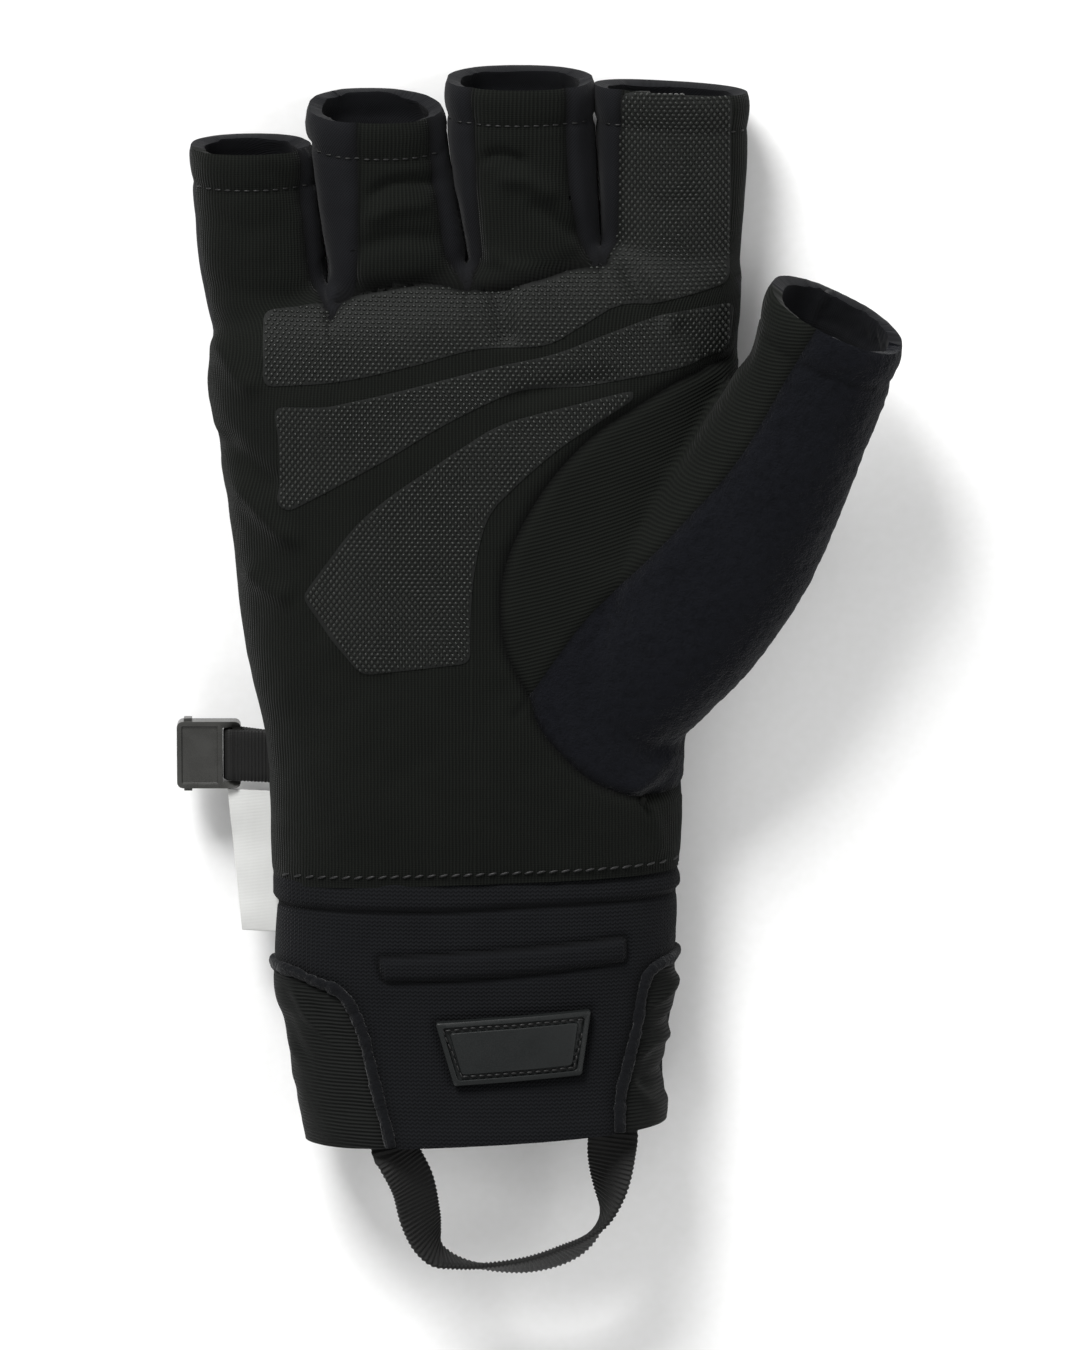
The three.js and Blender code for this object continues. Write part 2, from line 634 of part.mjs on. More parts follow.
function embossed(sides) {
  const raised = handForm(EMBOSS_HEIGHT).subtract(handForm(-WALL / 2));
  return topOf(raised).intersect(prism(outlineOf(sides, onCuff, 1, 12)));
}

function piping(line) {
  const ridge = handForm(PIPING_HEIGHT).subtract(handForm(-WALL, true));
  return topOf(ridge, SEAM_HEIGHT + half).intersect(pipingStrip(line, PIPING_WIDTH)).intersect(cuffSide(half));
}

// Rubber badge: a raised frame and a raised plate with a sewing groove between them
function badgeOutline(inset) {
  const wide = BADGE_WIDTH / 2 - inset;
  const short = wide - (BADGE_TAPER * BADGE_WIDTH) / 2;
  const tall = BADGE_LENGTH / 2 - inset;
  const centre = onCuff([BADGE_PLACE.across, BADGE_PLACE.along]);
  return [[-short, -tall], [short, -tall], [wide, tall], [-wide, tall]].map(([x, y]) => (
    new THREE.Vector2(x, y)
      .rotateAround(new THREE.Vector2(), THREE.MathUtils.degToRad(BADGE_PLACE.turn))
      .add(centre)
  ));
}

function badge() {
  const base = topOf(layer(BADGE_HEIGHT)).intersect(prism(badgeOutline(0)));
  const ring = prism(badgeOutline(BADGE_FRAME)).subtract(prism(badgeOutline(BADGE_FRAME + BADGE_GROOVE)));
  const groove = handForm(GAP + BADGE_HEIGHT + 1).subtract(handForm(GAP + BADGE_HEIGHT / 2));
  return base.subtract(ring.intersect(groove));
}

// A band of webbing along rows of a table: its middle, and how far it is rolled on its edge.
function webbing(rows, width, thickness) {
  const curve = new THREE.CatmullRomCurve3(rows.map(({ point }) => point));
  const steps = 28;
  const rings = [];
  for (let k = 0; k <= steps; k += 1) {
    const t = k / steps;
    const point = curve.getPoint(t);
    const ahead = curve.getTangent(t);
    const at = t * (rows.length - 1);
    const i = Math.min(Math.floor(at), rows.length - 2);
    const roll = THREE.MathUtils.degToRad(THREE.MathUtils.lerp(rows[i].roll, rows[i + 1].roll, at - i));
    const level = ahead.clone().cross(new THREE.Vector3(0, 0, 1)).normalize();
    const over = level.clone().cross(ahead);
    const across = level.clone().multiplyScalar(Math.cos(roll)).addScaledVector(over, Math.sin(roll));
    const face = ahead.clone().cross(across);
    rings.push([[-1, -1], [0, -1], [1, -1], [1, 1], [0, 1], [-1, 1]].map(([u, v]) => point.clone()
      .addScaledVector(across, (u * width) / 2)
      .addScaledVector(face, (v * thickness) / 2)));
  }
  return loft(rings);
}

// Pull loop: across as a share of LOOP_SPREAD, out as a share of LOOP_LENGTH from the hem,
// height as a share of CUFF_THICKNESS. Its ends are sewn inside the cuff's front.
const LOOP_MIDDLE = -0.086; // share of CUFF_WIDTH
const LOOP_ROWS = table(
  ['across', 'out', 'height', 'roll'],
  [-0.53, -0.28, 0.8, -8],
  [-0.515, 0.0, 0.805, 4],
  [-0.495, 0.1, 0.8, 30],
  [-0.435, 0.3, 0.775, 34],
  [-0.398, 0.55, 0.73, 40],
  [-0.352, 0.75, 0.68, 60],
  [-0.28, 0.872, 0.64, 86],
  [-0.119, 0.952, 0.61, 104],
  [0.1135, 0.962, 0.6, 117],
  [0.315, 0.87, 0.61, 118],
  [0.44, 0.69, 0.65, 94],
  [0.48, 0.45, 0.69, 54],
  [0.495, 0.15, 0.72, 12],
  [0.505, -0.02, 0.71, -20],
  [0.485, -0.28, 0.69, -25],
);

function pullLoop() {
  const middle = LOOP_MIDDLE * CUFF_WIDTH;
  const hem = WRIST_Y - CUFF_LENGTH;
  const slope = 0.057;
  const rows = LOOP_ROWS.map(({ across, out, height, roll }) => {
    const x = middle + across * LOOP_SPREAD;
    return { point: new THREE.Vector3(x, hem + slope * x - out * LOOP_LENGTH, height * CUFF_THICKNESS), roll };
  });
  return webbing(rows, LOOP_WEBBING, WEBBING_THICKNESS);
}

// Buckle strap: a loop of webbing round the buckle's bar, sewn into the side seam
const strapY = WRIST_Y + STRAP_FROM_WRIST;
const sideX = -readTable(HAND_SECTIONS, 'left', STRAP_FROM_WRIST / PALM_LENGTH) * PALM_WIDTH;
const barX = sideX - STRAP_REACH;
const barZ = SEAM_HEIGHT * 0.72;
const eye = BUCKLE_BAR * 0.76 + GAP;
const strapRound = eye + WEBBING_THICKNESS;

function strap() {
  const profile = new THREE.Shape();
  const seamEnd = sideX + WALL;
  const seamLow = SEAM_HEIGHT - WEBBING_THICKNESS;
  profile.moveTo(seamEnd, seamLow);
  profile.lineTo(seamEnd, SEAM_HEIGHT + WEBBING_THICKNESS);
  profile.lineTo(barX, barZ + strapRound);
  profile.absarc(barX, barZ, strapRound, Math.PI / 2, (3 * Math.PI) / 2, false);
  profile.lineTo(seamEnd, seamLow);
  const hole = new THREE.Path();
  hole.absarc(barX, barZ, eye, 0, 2 * Math.PI, true);
  profile.holes.push(hole);
  const geometry = new THREE.ExtrudeGeometry(profile, { depth: STRAP_WIDTH, bevelEnabled: false, curveSegments: 8 });
  geometry.rotateX(Math.PI / 2);
  geometry.translate(0, strapY + STRAP_WIDTH / 2, 0);
  return solidOf(geometry).subtract(clearForm);
}

// Buckle: a moulded plate with two rails and a bar behind a slot
function buckle() {
  const width = STRAP_WIDTH + 2 * (GAP + BUCKLE_RAIL);
  const right = barX + BUCKLE_BAR / 2;
  const left = right - BUCKLE_LENGTH;
  const radius = 1;
  const outline = new THREE.Shape();
  outline.moveTo(left + radius, strapY - width / 2);
  outline.lineTo(right - radius, strapY - width / 2);
  outline.absarc(right - radius, strapY - width / 2 + radius, radius, -Math.PI / 2, 0, false);
  outline.absarc(right - radius, strapY + width / 2 - radius, radius, 0, Math.PI / 2, false);
  outline.absarc(left + radius, strapY + width / 2 - radius, radius, Math.PI / 2, Math.PI, false);
  outline.absarc(left + radius, strapY - width / 2 + radius, radius, Math.PI, (3 * Math.PI) / 2, false);
  const slotRight = barX - BUCKLE_BAR / 2;
  const inside = width / 2 - BUCKLE_RAIL;
  const slot = new THREE.Path([
    new THREE.Vector2(slotRight - BUCKLE_SLOT, strapY - inside),
    new THREE.Vector2(slotRight, strapY - inside),
    new THREE.Vector2(slotRight, strapY + inside),
    new THREE.Vector2(slotRight - BUCKLE_SLOT, strapY + inside),
  ]);
  outline.holes.push(slot);
  const geometry = new THREE.ExtrudeGeometry(outline, { depth: BUCKLE_THICKNESS, bevelEnabled: false, curveSegments: 4 });
  geometry.translate(0, 0, barZ - BUCKLE_THICKNESS / 2);
  const body = solidOf(geometry);
  const thin = (low, high) => {
    const room = new THREE.BoxGeometry(BUCKLE_BAR + strapRound + GAP, 2 * inside, high - low);
    room.translate(barX + (strapRound + GAP - BUCKLE_BAR / 2) / 2, strapY, (low + high) / 2);
    return solidOf(room);
  };
  const top = barZ + BUCKLE_BAR / 2;
  const bottom = barZ - BUCKLE_BAR / 2;
  return body.subtract(thin(top, top + BUCKLE_THICKNESS)).subtract(thin(bottom - BUCKLE_THICKNESS, bottom));
}

// Woven label: a plain tab sewn into the side seam, drooping outwards
function label() {
  const inner = sideX + 6;
  const topY = strapY - STRAP_WIDTH / 2 - BUCKLE_RAIL - 2 * GAP;
  const droop = 0.28;
  const corners = [
    [sideX - LABEL_REACH, topY, 0],
    [inner, topY, 0],
    [inner, topY - LABEL_LENGTH, 0],
    [sideX - LABEL_REACH + 2.8, topY - LABEL_LENGTH, 0],
  ];
  const ring = (thick) => corners.map(([x, y]) => (
    new THREE.Vector3(x, y, SEAM_HEIGHT - 0.6 + (x - sideX) * droop + thick)
  ));
  return loft([ring(-LABEL_THICKNESS / 2), ring(LABEL_THICKNESS / 2)]).subtract(clearForm);
}

// Which facets meet at each point
function facetsAt(facets, count) {
  const at = Array.from({ length: count }, () => []);
  facets.forEach((facet, f) => facet.forEach((p) => at[p].push(f)));
  return at;
}

const normalOf = (points, [a, b, c]) => points[b].clone().sub(points[a])
  .cross(points[c].clone().sub(points[a]));

// Height of a facet over its longest side
function facetHeight(points, facet) {
  const longest = Math.max(...facet.map((p, i) => points[p].distanceTo(points[facet[(i + 1) % 3]])));
  return normalOf(points, facet).length() / longest;
}

// Moves point b onto point a where that keeps the surface closed and unfolded. Returns the facets changed.
function closeEdge(points, facets, at, a, b) {
  const neighbours = (p) => new Set(at[p].flatMap((f) => facets[f]).filter((q) => q !== p));
  const shared = [...neighbours(a)].filter((q) => neighbours(b).has(q));
  if (shared.length !== 2) return null;
  const moved = at[b].filter((f) => !facets[f].includes(a));
  const after = moved.map((f) => facets[f].map((p) => (p === b ? a : p)));
  const folds = moved.some((f, i) => {
    const before = normalOf(points, facets[f]);
    const next = normalOf(points, after[i]);
    const thin = facetHeight(points, facets[f]) < THINNEST_FACET;
    const worse = facetHeight(points, after[i]) < Math.min(THINNEST_FACET, facetHeight(points, facets[f]));
    return worse || (!thin && before.normalize().dot(next.normalize()) < 0.7);
  });
  return folds ? null : { moved, after };
}

// Closes up short edges, one pass over the facets.
function closeShortEdges(points, facets) {
  const at = facetsAt(facets, points.length);
  const touched = new Set();
  const gone = new Set();
  const next = facets.slice();
  facets.forEach((facet) => facet.forEach((p, i) => {
    const q = facet[(i + 1) % 3];
    const near = points[p].distanceTo(points[q]) < SHORTEST_EDGE;
    if (!near || touched.has(p) || touched.has(q)) return;
    [[p, q], [q, p]].some(([a, b]) => {
      const closed = closeEdge(points, facets, at, a, b);
      if (!closed) return false;
      closed.moved.forEach((f, k) => { next[f] = closed.after[k]; });
      at[b].filter((f) => facets[f].includes(a)).forEach((f) => gone.add(f));
      [...at[a], ...at[b]].flatMap((f) => facets[f]).forEach((one) => touched.add(one));
      return true;
    });
  }));
  return next.filter((_, f) => !gone.has(f));
}

// Turns the long side of facets that are nearly flat to the opposite corner, one pass over the facets.
function turnThinFacets(points, facets) {
  const at = facetsAt(facets, points.length);
  const touched = new Set();
  const next = facets.slice();
  facets.forEach((facet, f) => {
    if (facetHeight(points, facet) >= THINNEST_FACET || facet.some((p) => touched.has(p))) return;
    const lengths = facet.map((p, i) => points[p].distanceTo(points[facet[(i + 1) % 3]]));
    const i = lengths.indexOf(Math.max(...lengths));
    const [c, a, b] = [facet[i], facet[(i + 1) % 3], facet[(i + 2) % 3]];
    const g = at[a].find((k) => k !== f && facets[k].includes(c));
    const d = facets[g].find((p) => p !== a && p !== c);
    const joined = at[b].some((k) => facets[k].includes(d));
    if (joined || touched.has(d)) return;
    const made = [[a, b, d], [b, c, d]];
    const across = normalOf(points, facets[g]).normalize();
    const low = Math.min(...made.map((one) => facetHeight(points, one)));
    const turns = made.some((one) => normalOf(points, one).normalize().dot(across) < 0.7);
    if (turns || low <= facetHeight(points, facet)) return;
    [next[f], next[g]] = made;
    [a, b, c, d].forEach((p) => touched.add(p));
  });
  return next;
}

// A solid without the slivers that cuts leave.
function withoutSlivers(body) {
  const mesh = body.getMesh();
  const points = [];
  for (let i = 0; i < mesh.numVert; i += 1) {
    points.push(new THREE.Vector3().fromArray(mesh.vertProperties, i * mesh.numProp));
  }
  let facets = [];
  for (let i = 0; i < mesh.triVerts.length; i += 3) facets.push(Array.from(mesh.triVerts.slice(i, i + 3)));
  for (let pass = 0; pass < 12; pass += 1) {
    facets = closeShortEdges(points, facets);
    facets = turnThinFacets(points, facets);
  }
  const used = [...new Set(facets.flat())];
  const place = new Map(used.map((p, i) => [p, i]));
  return solid(used.flatMap((p) => points[p].toArray()), facets.flat().map((p) => place.get(p)));
}

const glove = new THREE.Group();

// Adds a solid to the glove as a named mesh of one material.
function add(name, body, finish) {
  const mesh = withoutSlivers(body).getMesh();
  const positions = new Float32Array(mesh.numVert * 3);
  for (let i = 0; i < mesh.numVert; i += 1) {
    positions.set(mesh.vertProperties.subarray(i * mesh.numProp, i * mesh.numProp + 3), i * 3);
  }
  const geometry = new THREE.BufferGeometry();
  geometry.setAttribute('position', new THREE.BufferAttribute(positions, 3));
  geometry.setIndex(new THREE.BufferAttribute(mesh.triVerts, 1));
  geometry.computeVertexNormals();
  const made = new THREE.Mesh(geometry, finish);
  made.name = name;
  glove.add(made);
}

// The largest connected body, without the slivers that a cut leaves
function largest(body) {
  return body.decompose().reduce((best, one) => (one.volume() > best.volume() ? one : best));
}

const finish = (color, roughness) => new THREE.MeshStandardMaterial({ color, roughness, metalness: 0 });
const ribbedKnit = finish(0x131513, 0.85);
const softShell = finish(0x15171b, 0.8);
const fleece = finish(0x0e0f12, 1);
const gripPrint = finish(0x2b2d2b, 0.5);
const cuffKnit = finish(0x1a1b1f, 0.9);
const elastic = finish(0x1a1c1b, 0.7);
const rubber = finish(0x2c2e2e, 0.55);
const plastic = finish(0x2b2b29, 0.45);
const grosgrain = finish(0x171717, 0.7);
const wovenLabel = finish(0xdcdcda, 0.8);

add('back_panel', largest(backGroup.intersect(handSide(half)).subtract(fourchetteCutter)), softShell);
add('palm_panel', largest(palmOnly.subtract(prism(offset(fingerFront, half)))), ribbedKnit);
const fronts = palmOnly.intersect(prism(offset(fingerFront, -half)));
const frontsSplit = onPalm(FOURCHETTES[1].tip).x;
add('ring_finger_front', largest(fronts.trimByPlane([-1, 0, 0], -frontsSplit)), ribbedKnit);
add('middle_finger_front', largest(fronts.trimByPlane([1, 0, 0], frontsSplit)), ribbedKnit);
fourchetteOutlines.forEach(({ name, outline }) => {
  const strip = prism(offset(outline, -half), fourchetteLow + GAP);
  add(name, largest(shell.intersect(strip)), softShell);
});
add('thumb_panel', largest(thumbTop.subtract(prism(offset(fleeceOutline, half)))), ribbedKnit);
add('thumb_wipe', largest(thumbTop.intersect(prism(offset(fleeceOutline, -half)))), fleece);
add('thumb_back', largest(shell.intersect(underThumb(-half))), softShell);

const grips = { grip_band: GRIP_BAND, grip_middle: GRIP_MIDDLE, grip_lower: GRIP_LOWER };
const gripLayer = topOf(layer(GRIP_THICKNESS)).intersect(handSide(half));
Object.entries(grips).forEach(([name, sides]) => {
  const cut = prism(outlineOf(sides, onPalm, GRIP_CORNER)).subtract(prism(offset(thumbOutline, 0)));
  add(name, largest(gripLayer.intersect(cut)), gripPrint);
});

add('cuff_front', largest(knitForm.add(embossed(EMBOSSED_BAR)).add(embossed(EMBOSSED_BAND))), cuffKnit);
add('cuff_gusset_left', largest(cuffPanels.intersect(gussetCutter(pipingLeft))), elastic);
add('cuff_gusset_right', largest(cuffPanels.intersect(gussetCutter(pipingRight))), elastic);
add('cuff_back', largest(backGroup.intersect(cuffSide(half))), cuffKnit);
add('cuff_piping_left', largest(piping(pipingLeft)), cuffKnit);
add('cuff_piping_right', largest(piping(pipingRight)), cuffKnit);
add('badge', largest(badge()), rubber);
add('pull_loop', pullLoop(), grosgrain);
add('buckle_strap', largest(strap()), grosgrain);
add('buckle', buckle(), plastic);
add('label', largest(label()), wovenLabel);

export default glove;
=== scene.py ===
"""The looks of a half-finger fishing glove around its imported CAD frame.

The glove is a right-hand one and lies on its back with the palm up. Sizes are in millimetres until a
piece is finished, and metres from there on.
"""

import math
import random

import bmesh
import bpy
import numpy as np
from mathutils import Matrix, Vector, noise
from mathutils.bvhtree import BVHTree


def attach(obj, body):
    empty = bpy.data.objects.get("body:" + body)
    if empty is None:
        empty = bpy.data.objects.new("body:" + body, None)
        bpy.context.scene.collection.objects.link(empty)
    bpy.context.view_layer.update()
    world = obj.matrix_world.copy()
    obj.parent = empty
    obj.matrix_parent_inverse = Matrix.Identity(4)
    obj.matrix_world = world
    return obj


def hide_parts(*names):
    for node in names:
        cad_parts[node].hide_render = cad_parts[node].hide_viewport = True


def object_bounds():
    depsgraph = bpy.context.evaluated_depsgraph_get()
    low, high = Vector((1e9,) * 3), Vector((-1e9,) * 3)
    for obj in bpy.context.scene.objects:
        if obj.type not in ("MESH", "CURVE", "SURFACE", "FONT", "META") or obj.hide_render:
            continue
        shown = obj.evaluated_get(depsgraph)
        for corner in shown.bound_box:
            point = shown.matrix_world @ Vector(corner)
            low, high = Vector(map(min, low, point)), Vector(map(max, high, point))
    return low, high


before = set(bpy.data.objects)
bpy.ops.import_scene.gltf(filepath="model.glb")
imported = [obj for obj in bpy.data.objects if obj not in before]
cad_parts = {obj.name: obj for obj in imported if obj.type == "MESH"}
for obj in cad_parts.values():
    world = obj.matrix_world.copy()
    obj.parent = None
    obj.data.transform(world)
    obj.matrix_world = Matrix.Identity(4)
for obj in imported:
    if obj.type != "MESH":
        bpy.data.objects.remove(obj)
CAD_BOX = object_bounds()

bl_info = {
    "name": "Fishing Glove",
    "version": (1, 0, 0),
    "blender": (4, 5, 0),
    "location": "View3D > Sidebar > Glove",
    "description": "Builds a half-finger fishing glove around its CAD frame",
    "category": "Add Mesh",
}

MM = 0.001
BODY = "root"
WALL_SHARE = 0.62  # the wall of the cloth as a share of its rolled rims

# Sizes of the hand, which repeat the part's source
PALM_LENGTH = 125.0
PALM_WIDTH = 107.0
PALM_THICKNESS = 30.0
KNUCKLE_SKEW = 0.147
WRIST_Y = -39.0
CROTCH_Y = WRIST_Y + PALM_LENGTH
FINGER_THICKNESS = 20.5
FINGER_LENGTH = 33.0
FINGER_ROOT = 22.0
THUMB_LENGTH = 92.0
THUMB_WIDTH = 28.0
THUMB_THICKNESS = 24.0
THUMB_SPREAD = 30.3
THUMB_BOW = 5.6
CUFF_LENGTH = 53.0
CUFF_WIDTH = 80.0
CUFF_THICKNESS = 32.0
SEAM_HEIGHT = 12.0
HEM_SLOPE = 0.057
HEM_Y = WRIST_Y - CUFF_LENGTH
OVERRUN = 5.0
THUMB_CLEAR_X = 43.5  # every finger lies left of it
STRIP_LOW = 2.9  # height at which the strips between the fingers begin
HEM_ROW = 7.2  # the stitches of a finger's hem, behind its rim
THUMB_HEM_ROW = 7.6
FAR = 200.0  # beyond the glove on every side

# Sections: share along, then left, right, top and skew as shares of the sizes above
HAND_SECTIONS = np.array([
    (0.0, 0.505, 0.264, 0.98, -0.03),
    (0.09, 0.507, 0.265, 1.02, -0.02),
    (0.2, 0.513, 0.271, 1.03, 0.0),
    (0.35, 0.549, 0.292, 1.02, 0.0),
    (0.54, 0.576, 0.333, 1.0, 0.0),
    (0.72, 0.603, 0.364, 0.96, 0.04),
    (0.84, 0.62, 0.374, 0.91, 0.1),
    (0.92, 0.612, 0.372, 0.84, 0.14),
    (0.968, 0.596, 0.355, 0.7, 0.147),
    (0.986, 0.58, 0.34, 0.56, 0.147),
])
CUFF_SECTIONS = np.array([
    (0.0, 0.66, 0.34, 0.87, -0.03),
    (0.14, 0.662, 0.343, 0.9, -0.02),
    (0.42, 0.67, 0.343, 0.92, 0.01),
    (0.47, 0.668, 0.345, 0.92, 0.015),
    (0.58, 0.648, 0.333, 0.93, 0.03),
    (0.78, 0.62, 0.31, 0.96, 0.045),
    (1.0, 0.592, 0.32, 1.0, 0.057),
])
# Fingers: the sides of each tube, then its reach, depth, slant and tilt of the rim
FINGERS = (
    (np.array([(0.0, -0.575, -0.37), (0.47, -0.63, -0.3953), (0.75, -0.643, -0.4118),
               (1.0, -0.654, -0.4262)]), 0.61, 0.92, -0.12, 0.01),
    (np.array([(0.0, -0.37, -0.13), (0.4, -0.3925, -0.133), (0.72, -0.413, -0.1605),
               (1.0, -0.4315, -0.184)]), 0.845, 1.0, -0.24, -0.02),
    (np.array([(0.0, -0.125, 0.12), (0.4, -0.1337, 0.111), (0.72, -0.1635, 0.103),
               (1.0, -0.172, 0.0953)]), 1.015, 1.02, -0.14, 0.0),
    (np.array([(0.0, 0.125, 0.35), (0.4, 0.1168, 0.373), (0.72, 0.1085, 0.385),
               (1.0, 0.102, 0.387)]), 0.955, 0.98, -0.03, -0.06),
)
FINGER_PROFILE = np.array([
    (0.0, 0.78, 0.22), (0.25, 0.9, 0.08), (0.5, 0.985, -0.01), (0.8, 0.965, 0.03), (1.0, 1.0, 0.05),
])
THUMB_ROOT = (0.112, 0.273)
THUMB_RIM_SLANT = -0.2
THUMB_RIM_TILT = -0.15
THUMB_SECTIONS = np.array([
    (0.0, 0.53, 1.16, 1.06), (0.18, 0.6, 1.28, 1.12), (0.4, 0.69, 1.31, 1.1), (0.61, 0.79, 1.18, 1.04),
    (0.8, 0.88, 1.06, 1.0), (0.9, 0.93, 1.04, 0.98), (1.0, 0.97, 1.03, 1.0),
])

# Outlines on the palm, [across, along] as shares of its width and length
GRIP_BAND = (
    ((-0.512, 0.787), (-0.374, 0.798), (-0.236, 0.824), (-0.121, 0.85), (0.007, 0.857), (0.069, 0.883),
     (0.144, 0.918), (0.215, 0.922), (0.28, 0.933), (0.35, 0.949)),
    ((0.35, 0.949), (0.352, 1.1), (0.352, 1.252)),
    ((0.352, 1.252), (0.151, 1.252)),
    ((0.151, 1.252), (0.143, 1.14), (0.136, 1.029), (0.129, 0.983)),
    ((0.129, 0.983), (0.056, 0.97), (-0.019, 0.951), (-0.112, 0.941), (-0.206, 0.946), (-0.374, 0.922),
     (-0.512, 0.904)),
    ((-0.512, 0.904), (-0.512, 0.787)),
)
GRIP_MIDDLE = (
    ((-0.465, 0.59), (-0.366, 0.637), (-0.277, 0.68), (-0.187, 0.727), (-0.097, 0.766), (-0.026, 0.788),
     (0.082, 0.792), (0.172, 0.805), (0.262, 0.819), (0.35, 0.844)),
    ((0.35, 0.844), (0.358, 0.918)),
    ((0.358, 0.918), (0.226, 0.902), (0.127, 0.875), (0.028, 0.844), (-0.079, 0.824), (-0.168, 0.805),
     (-0.258, 0.785), (-0.348, 0.767), (-0.402, 0.758), (-0.492, 0.756)),
    ((-0.492, 0.756), (-0.482, 0.676), (-0.488, 0.6)),
    ((-0.488, 0.6), (-0.465, 0.59)),
)
GRIP_LOWER = (
    ((-0.331, 0.332), (-0.232, 0.342), (-0.129, 0.353)),
    ((-0.129, 0.353), (-0.128, 0.43), (-0.12, 0.504), (-0.097, 0.582), (-0.052, 0.629), (0.028, 0.689),
     (0.101, 0.731), (0.172, 0.77)),
    ((0.172, 0.77), (0.172, 0.785)),
    ((0.172, 0.785), (0.082, 0.767), (-0.062, 0.735), (-0.133, 0.702), (-0.206, 0.66), (-0.277, 0.618),
     (-0.34, 0.571), (-0.393, 0.512), (-0.441, 0.454)),
    ((-0.441, 0.454), (-0.385, 0.387), (-0.331, 0.332)),
)
GRIPS = {"grip_band": GRIP_BAND, "grip_middle": GRIP_MIDDLE, "grip_lower": GRIP_LOWER}
THUMB_SEAM = (
    (0.405, 1.02), (0.392, 0.93), (0.384, 0.87), (0.36, 0.832), (0.262, 0.798), (0.172, 0.754),
    (0.101, 0.715), (0.028, 0.652), (-0.026, 0.582), (-0.062, 0.512), (-0.073, 0.442), (-0.065, 0.379),
    (-0.043, 0.332), (-0.017, 0.293), (-0.005, 0.255), (0.028, 0.215), (0.082, 0.169), (0.136, 0.142),
    (0.198, 0.128), (0.3, 0.134),
)
FLEECE_EDGE = (  # shares of the thumb's length and width
    (-0.1, -0.52), (-0.04, -0.49), (0.147, -0.425), (0.34, -0.257), (0.465, -0.175), (0.64, -0.093),
    (0.86, -0.107), (1.2, -0.11),
)
FINGER_BASE_SEAM = (
    (-0.379, 0.921), (-0.327, 0.935), (-0.265, 0.943), (-0.206, 0.948), (-0.112, 0.941), (-0.022, 0.95),
    (0.052, 0.971), (0.124, 0.983),
)
FOURCHETTES = (
    ("fourchette_little_ring", ((-0.345, 0.944), (-0.337, 1.08), (-0.342, 1.3)),
     ((-0.45, 1.3), (-0.437, 1.06), (-0.421, 0.952)), (-0.388, 0.892)),
    ("fourchette_ring_middle", ((-0.112, 0.99), (-0.12, 1.1), (-0.131, 1.3)),
     ((-0.212, 1.3), (-0.194, 1.115), (-0.172, 0.99)), (-0.137, 0.944)),
    ("fourchette_middle_index", ((0.138, 1.009), (0.144, 1.115), (0.15, 1.3)),
     ((0.047, 1.3), (0.055, 1.115), (0.08, 1.009)), (0.108, 0.972)),
)
WRIST_SEAM = ((-0.7, -0.022), (-0.35, -0.008), (0.0, 0.004), (0.5, 0.014))
# Outlines on the cuff, as shares of its width and of its length down from the wrist
PIPING_LEFT = (
    (-0.7, 0.378), (-0.62, 0.38), (-0.57, 0.402), (-0.51, 0.433), (-0.475, 0.487), (-0.44, 0.612),
    (-0.41, 0.8), (-0.375, 1.003), (-0.36, 1.12),
)
PIPING_RIGHT = (
    (0.37, 0.331), (0.29, 0.362), (0.26, 0.425), (0.24, 0.597), (0.215, 0.753), (0.2, 0.862), (0.2, 1.12),
)
EMBOSSED_BAR = (
    ((-0.39, 0.394), (-0.12, 0.372), (0.215, 0.323)),
    ((0.215, 0.323), (0.215, 0.235)),
    ((0.215, 0.235), (-0.1, 0.275), (-0.405, 0.305)),
    ((-0.405, 0.305), (-0.39, 0.394)),
)
EMBOSSED_BAND = (
    ((-0.72, 0.128), (-0.25, 0.12), (0.0, 0.1), (0.42, 0.081)),
    ((0.42, 0.081), (0.42, -0.1)),
    ((0.42, -0.1), (-0.72, -0.1)),
    ((-0.72, -0.1), (-0.72, 0.128)),
)
BADGE_PLACE = (-0.061, 0.643)
BADGE_TURN = 4.2
BADGE_WIDTH = 31.2
BADGE_HEIGHT = 12.8
BADGE_TAPER = 2.8
BADGE_PLATE = 1.9
BADGE_STEPS = (  # width and rise of each step from the edge inward: frame, groove and plate
    (0.18, 0.12), (0.72, 0.0), (0.18, -0.12), (0.08, -0.75), (0.95, 0.0), (0.08, 0.6), (0.16, 0.1),
)
BADGE_GROOVE = 1.75  # middle of the sewing groove, in from the edge
CUFF_SAMPLES = 720
# Pull loop: across, out, height, roll
LOOP_LENGTH = 29.0
LOOP_SPREAD = 43.0
LOOP_MIDDLE = -0.086 * CUFF_WIDTH
LOOP_ROWS = (
    (-0.53, -0.28, 0.8, -8), (-0.515, 0.0, 0.805, 4), (-0.495, 0.1, 0.8, 30), (-0.435, 0.3, 0.775, 34),
    (-0.398, 0.55, 0.73, 40), (-0.352, 0.75, 0.68, 60), (-0.28, 0.872, 0.64, 86), (-0.119, 0.952, 0.61, 104),
    (0.1135, 0.962, 0.6, 117), (0.315, 0.87, 0.61, 118), (0.44, 0.69, 0.65, 94), (0.48, 0.45, 0.69, 54),
    (0.495, 0.15, 0.72, 12), (0.505, -0.02, 0.71, -20), (0.485, -0.28, 0.69, -25),
)
WEBBING_THICKNESS = 1.1
STRAP_Y = WRIST_Y + 21.9
STRAP_WIDTH = 10.4
STRAP_REACH = 6.4
STRAP_RIB = 0.73
STRAP_STEP = 0.16  # the strap is drawn in steps of this length
BAR_Z = SEAM_HEIGHT * 0.72
BAR_RADIUS = 0.85
BUCKLE_WIDTH = STRAP_WIDTH + 3.2
BUCKLE_LENGTH = 12.8
BUCKLE_THICKNESS = 4.2
BUCKLE_SIDE = 1.3
BUCKLE_SLOT = 1.95
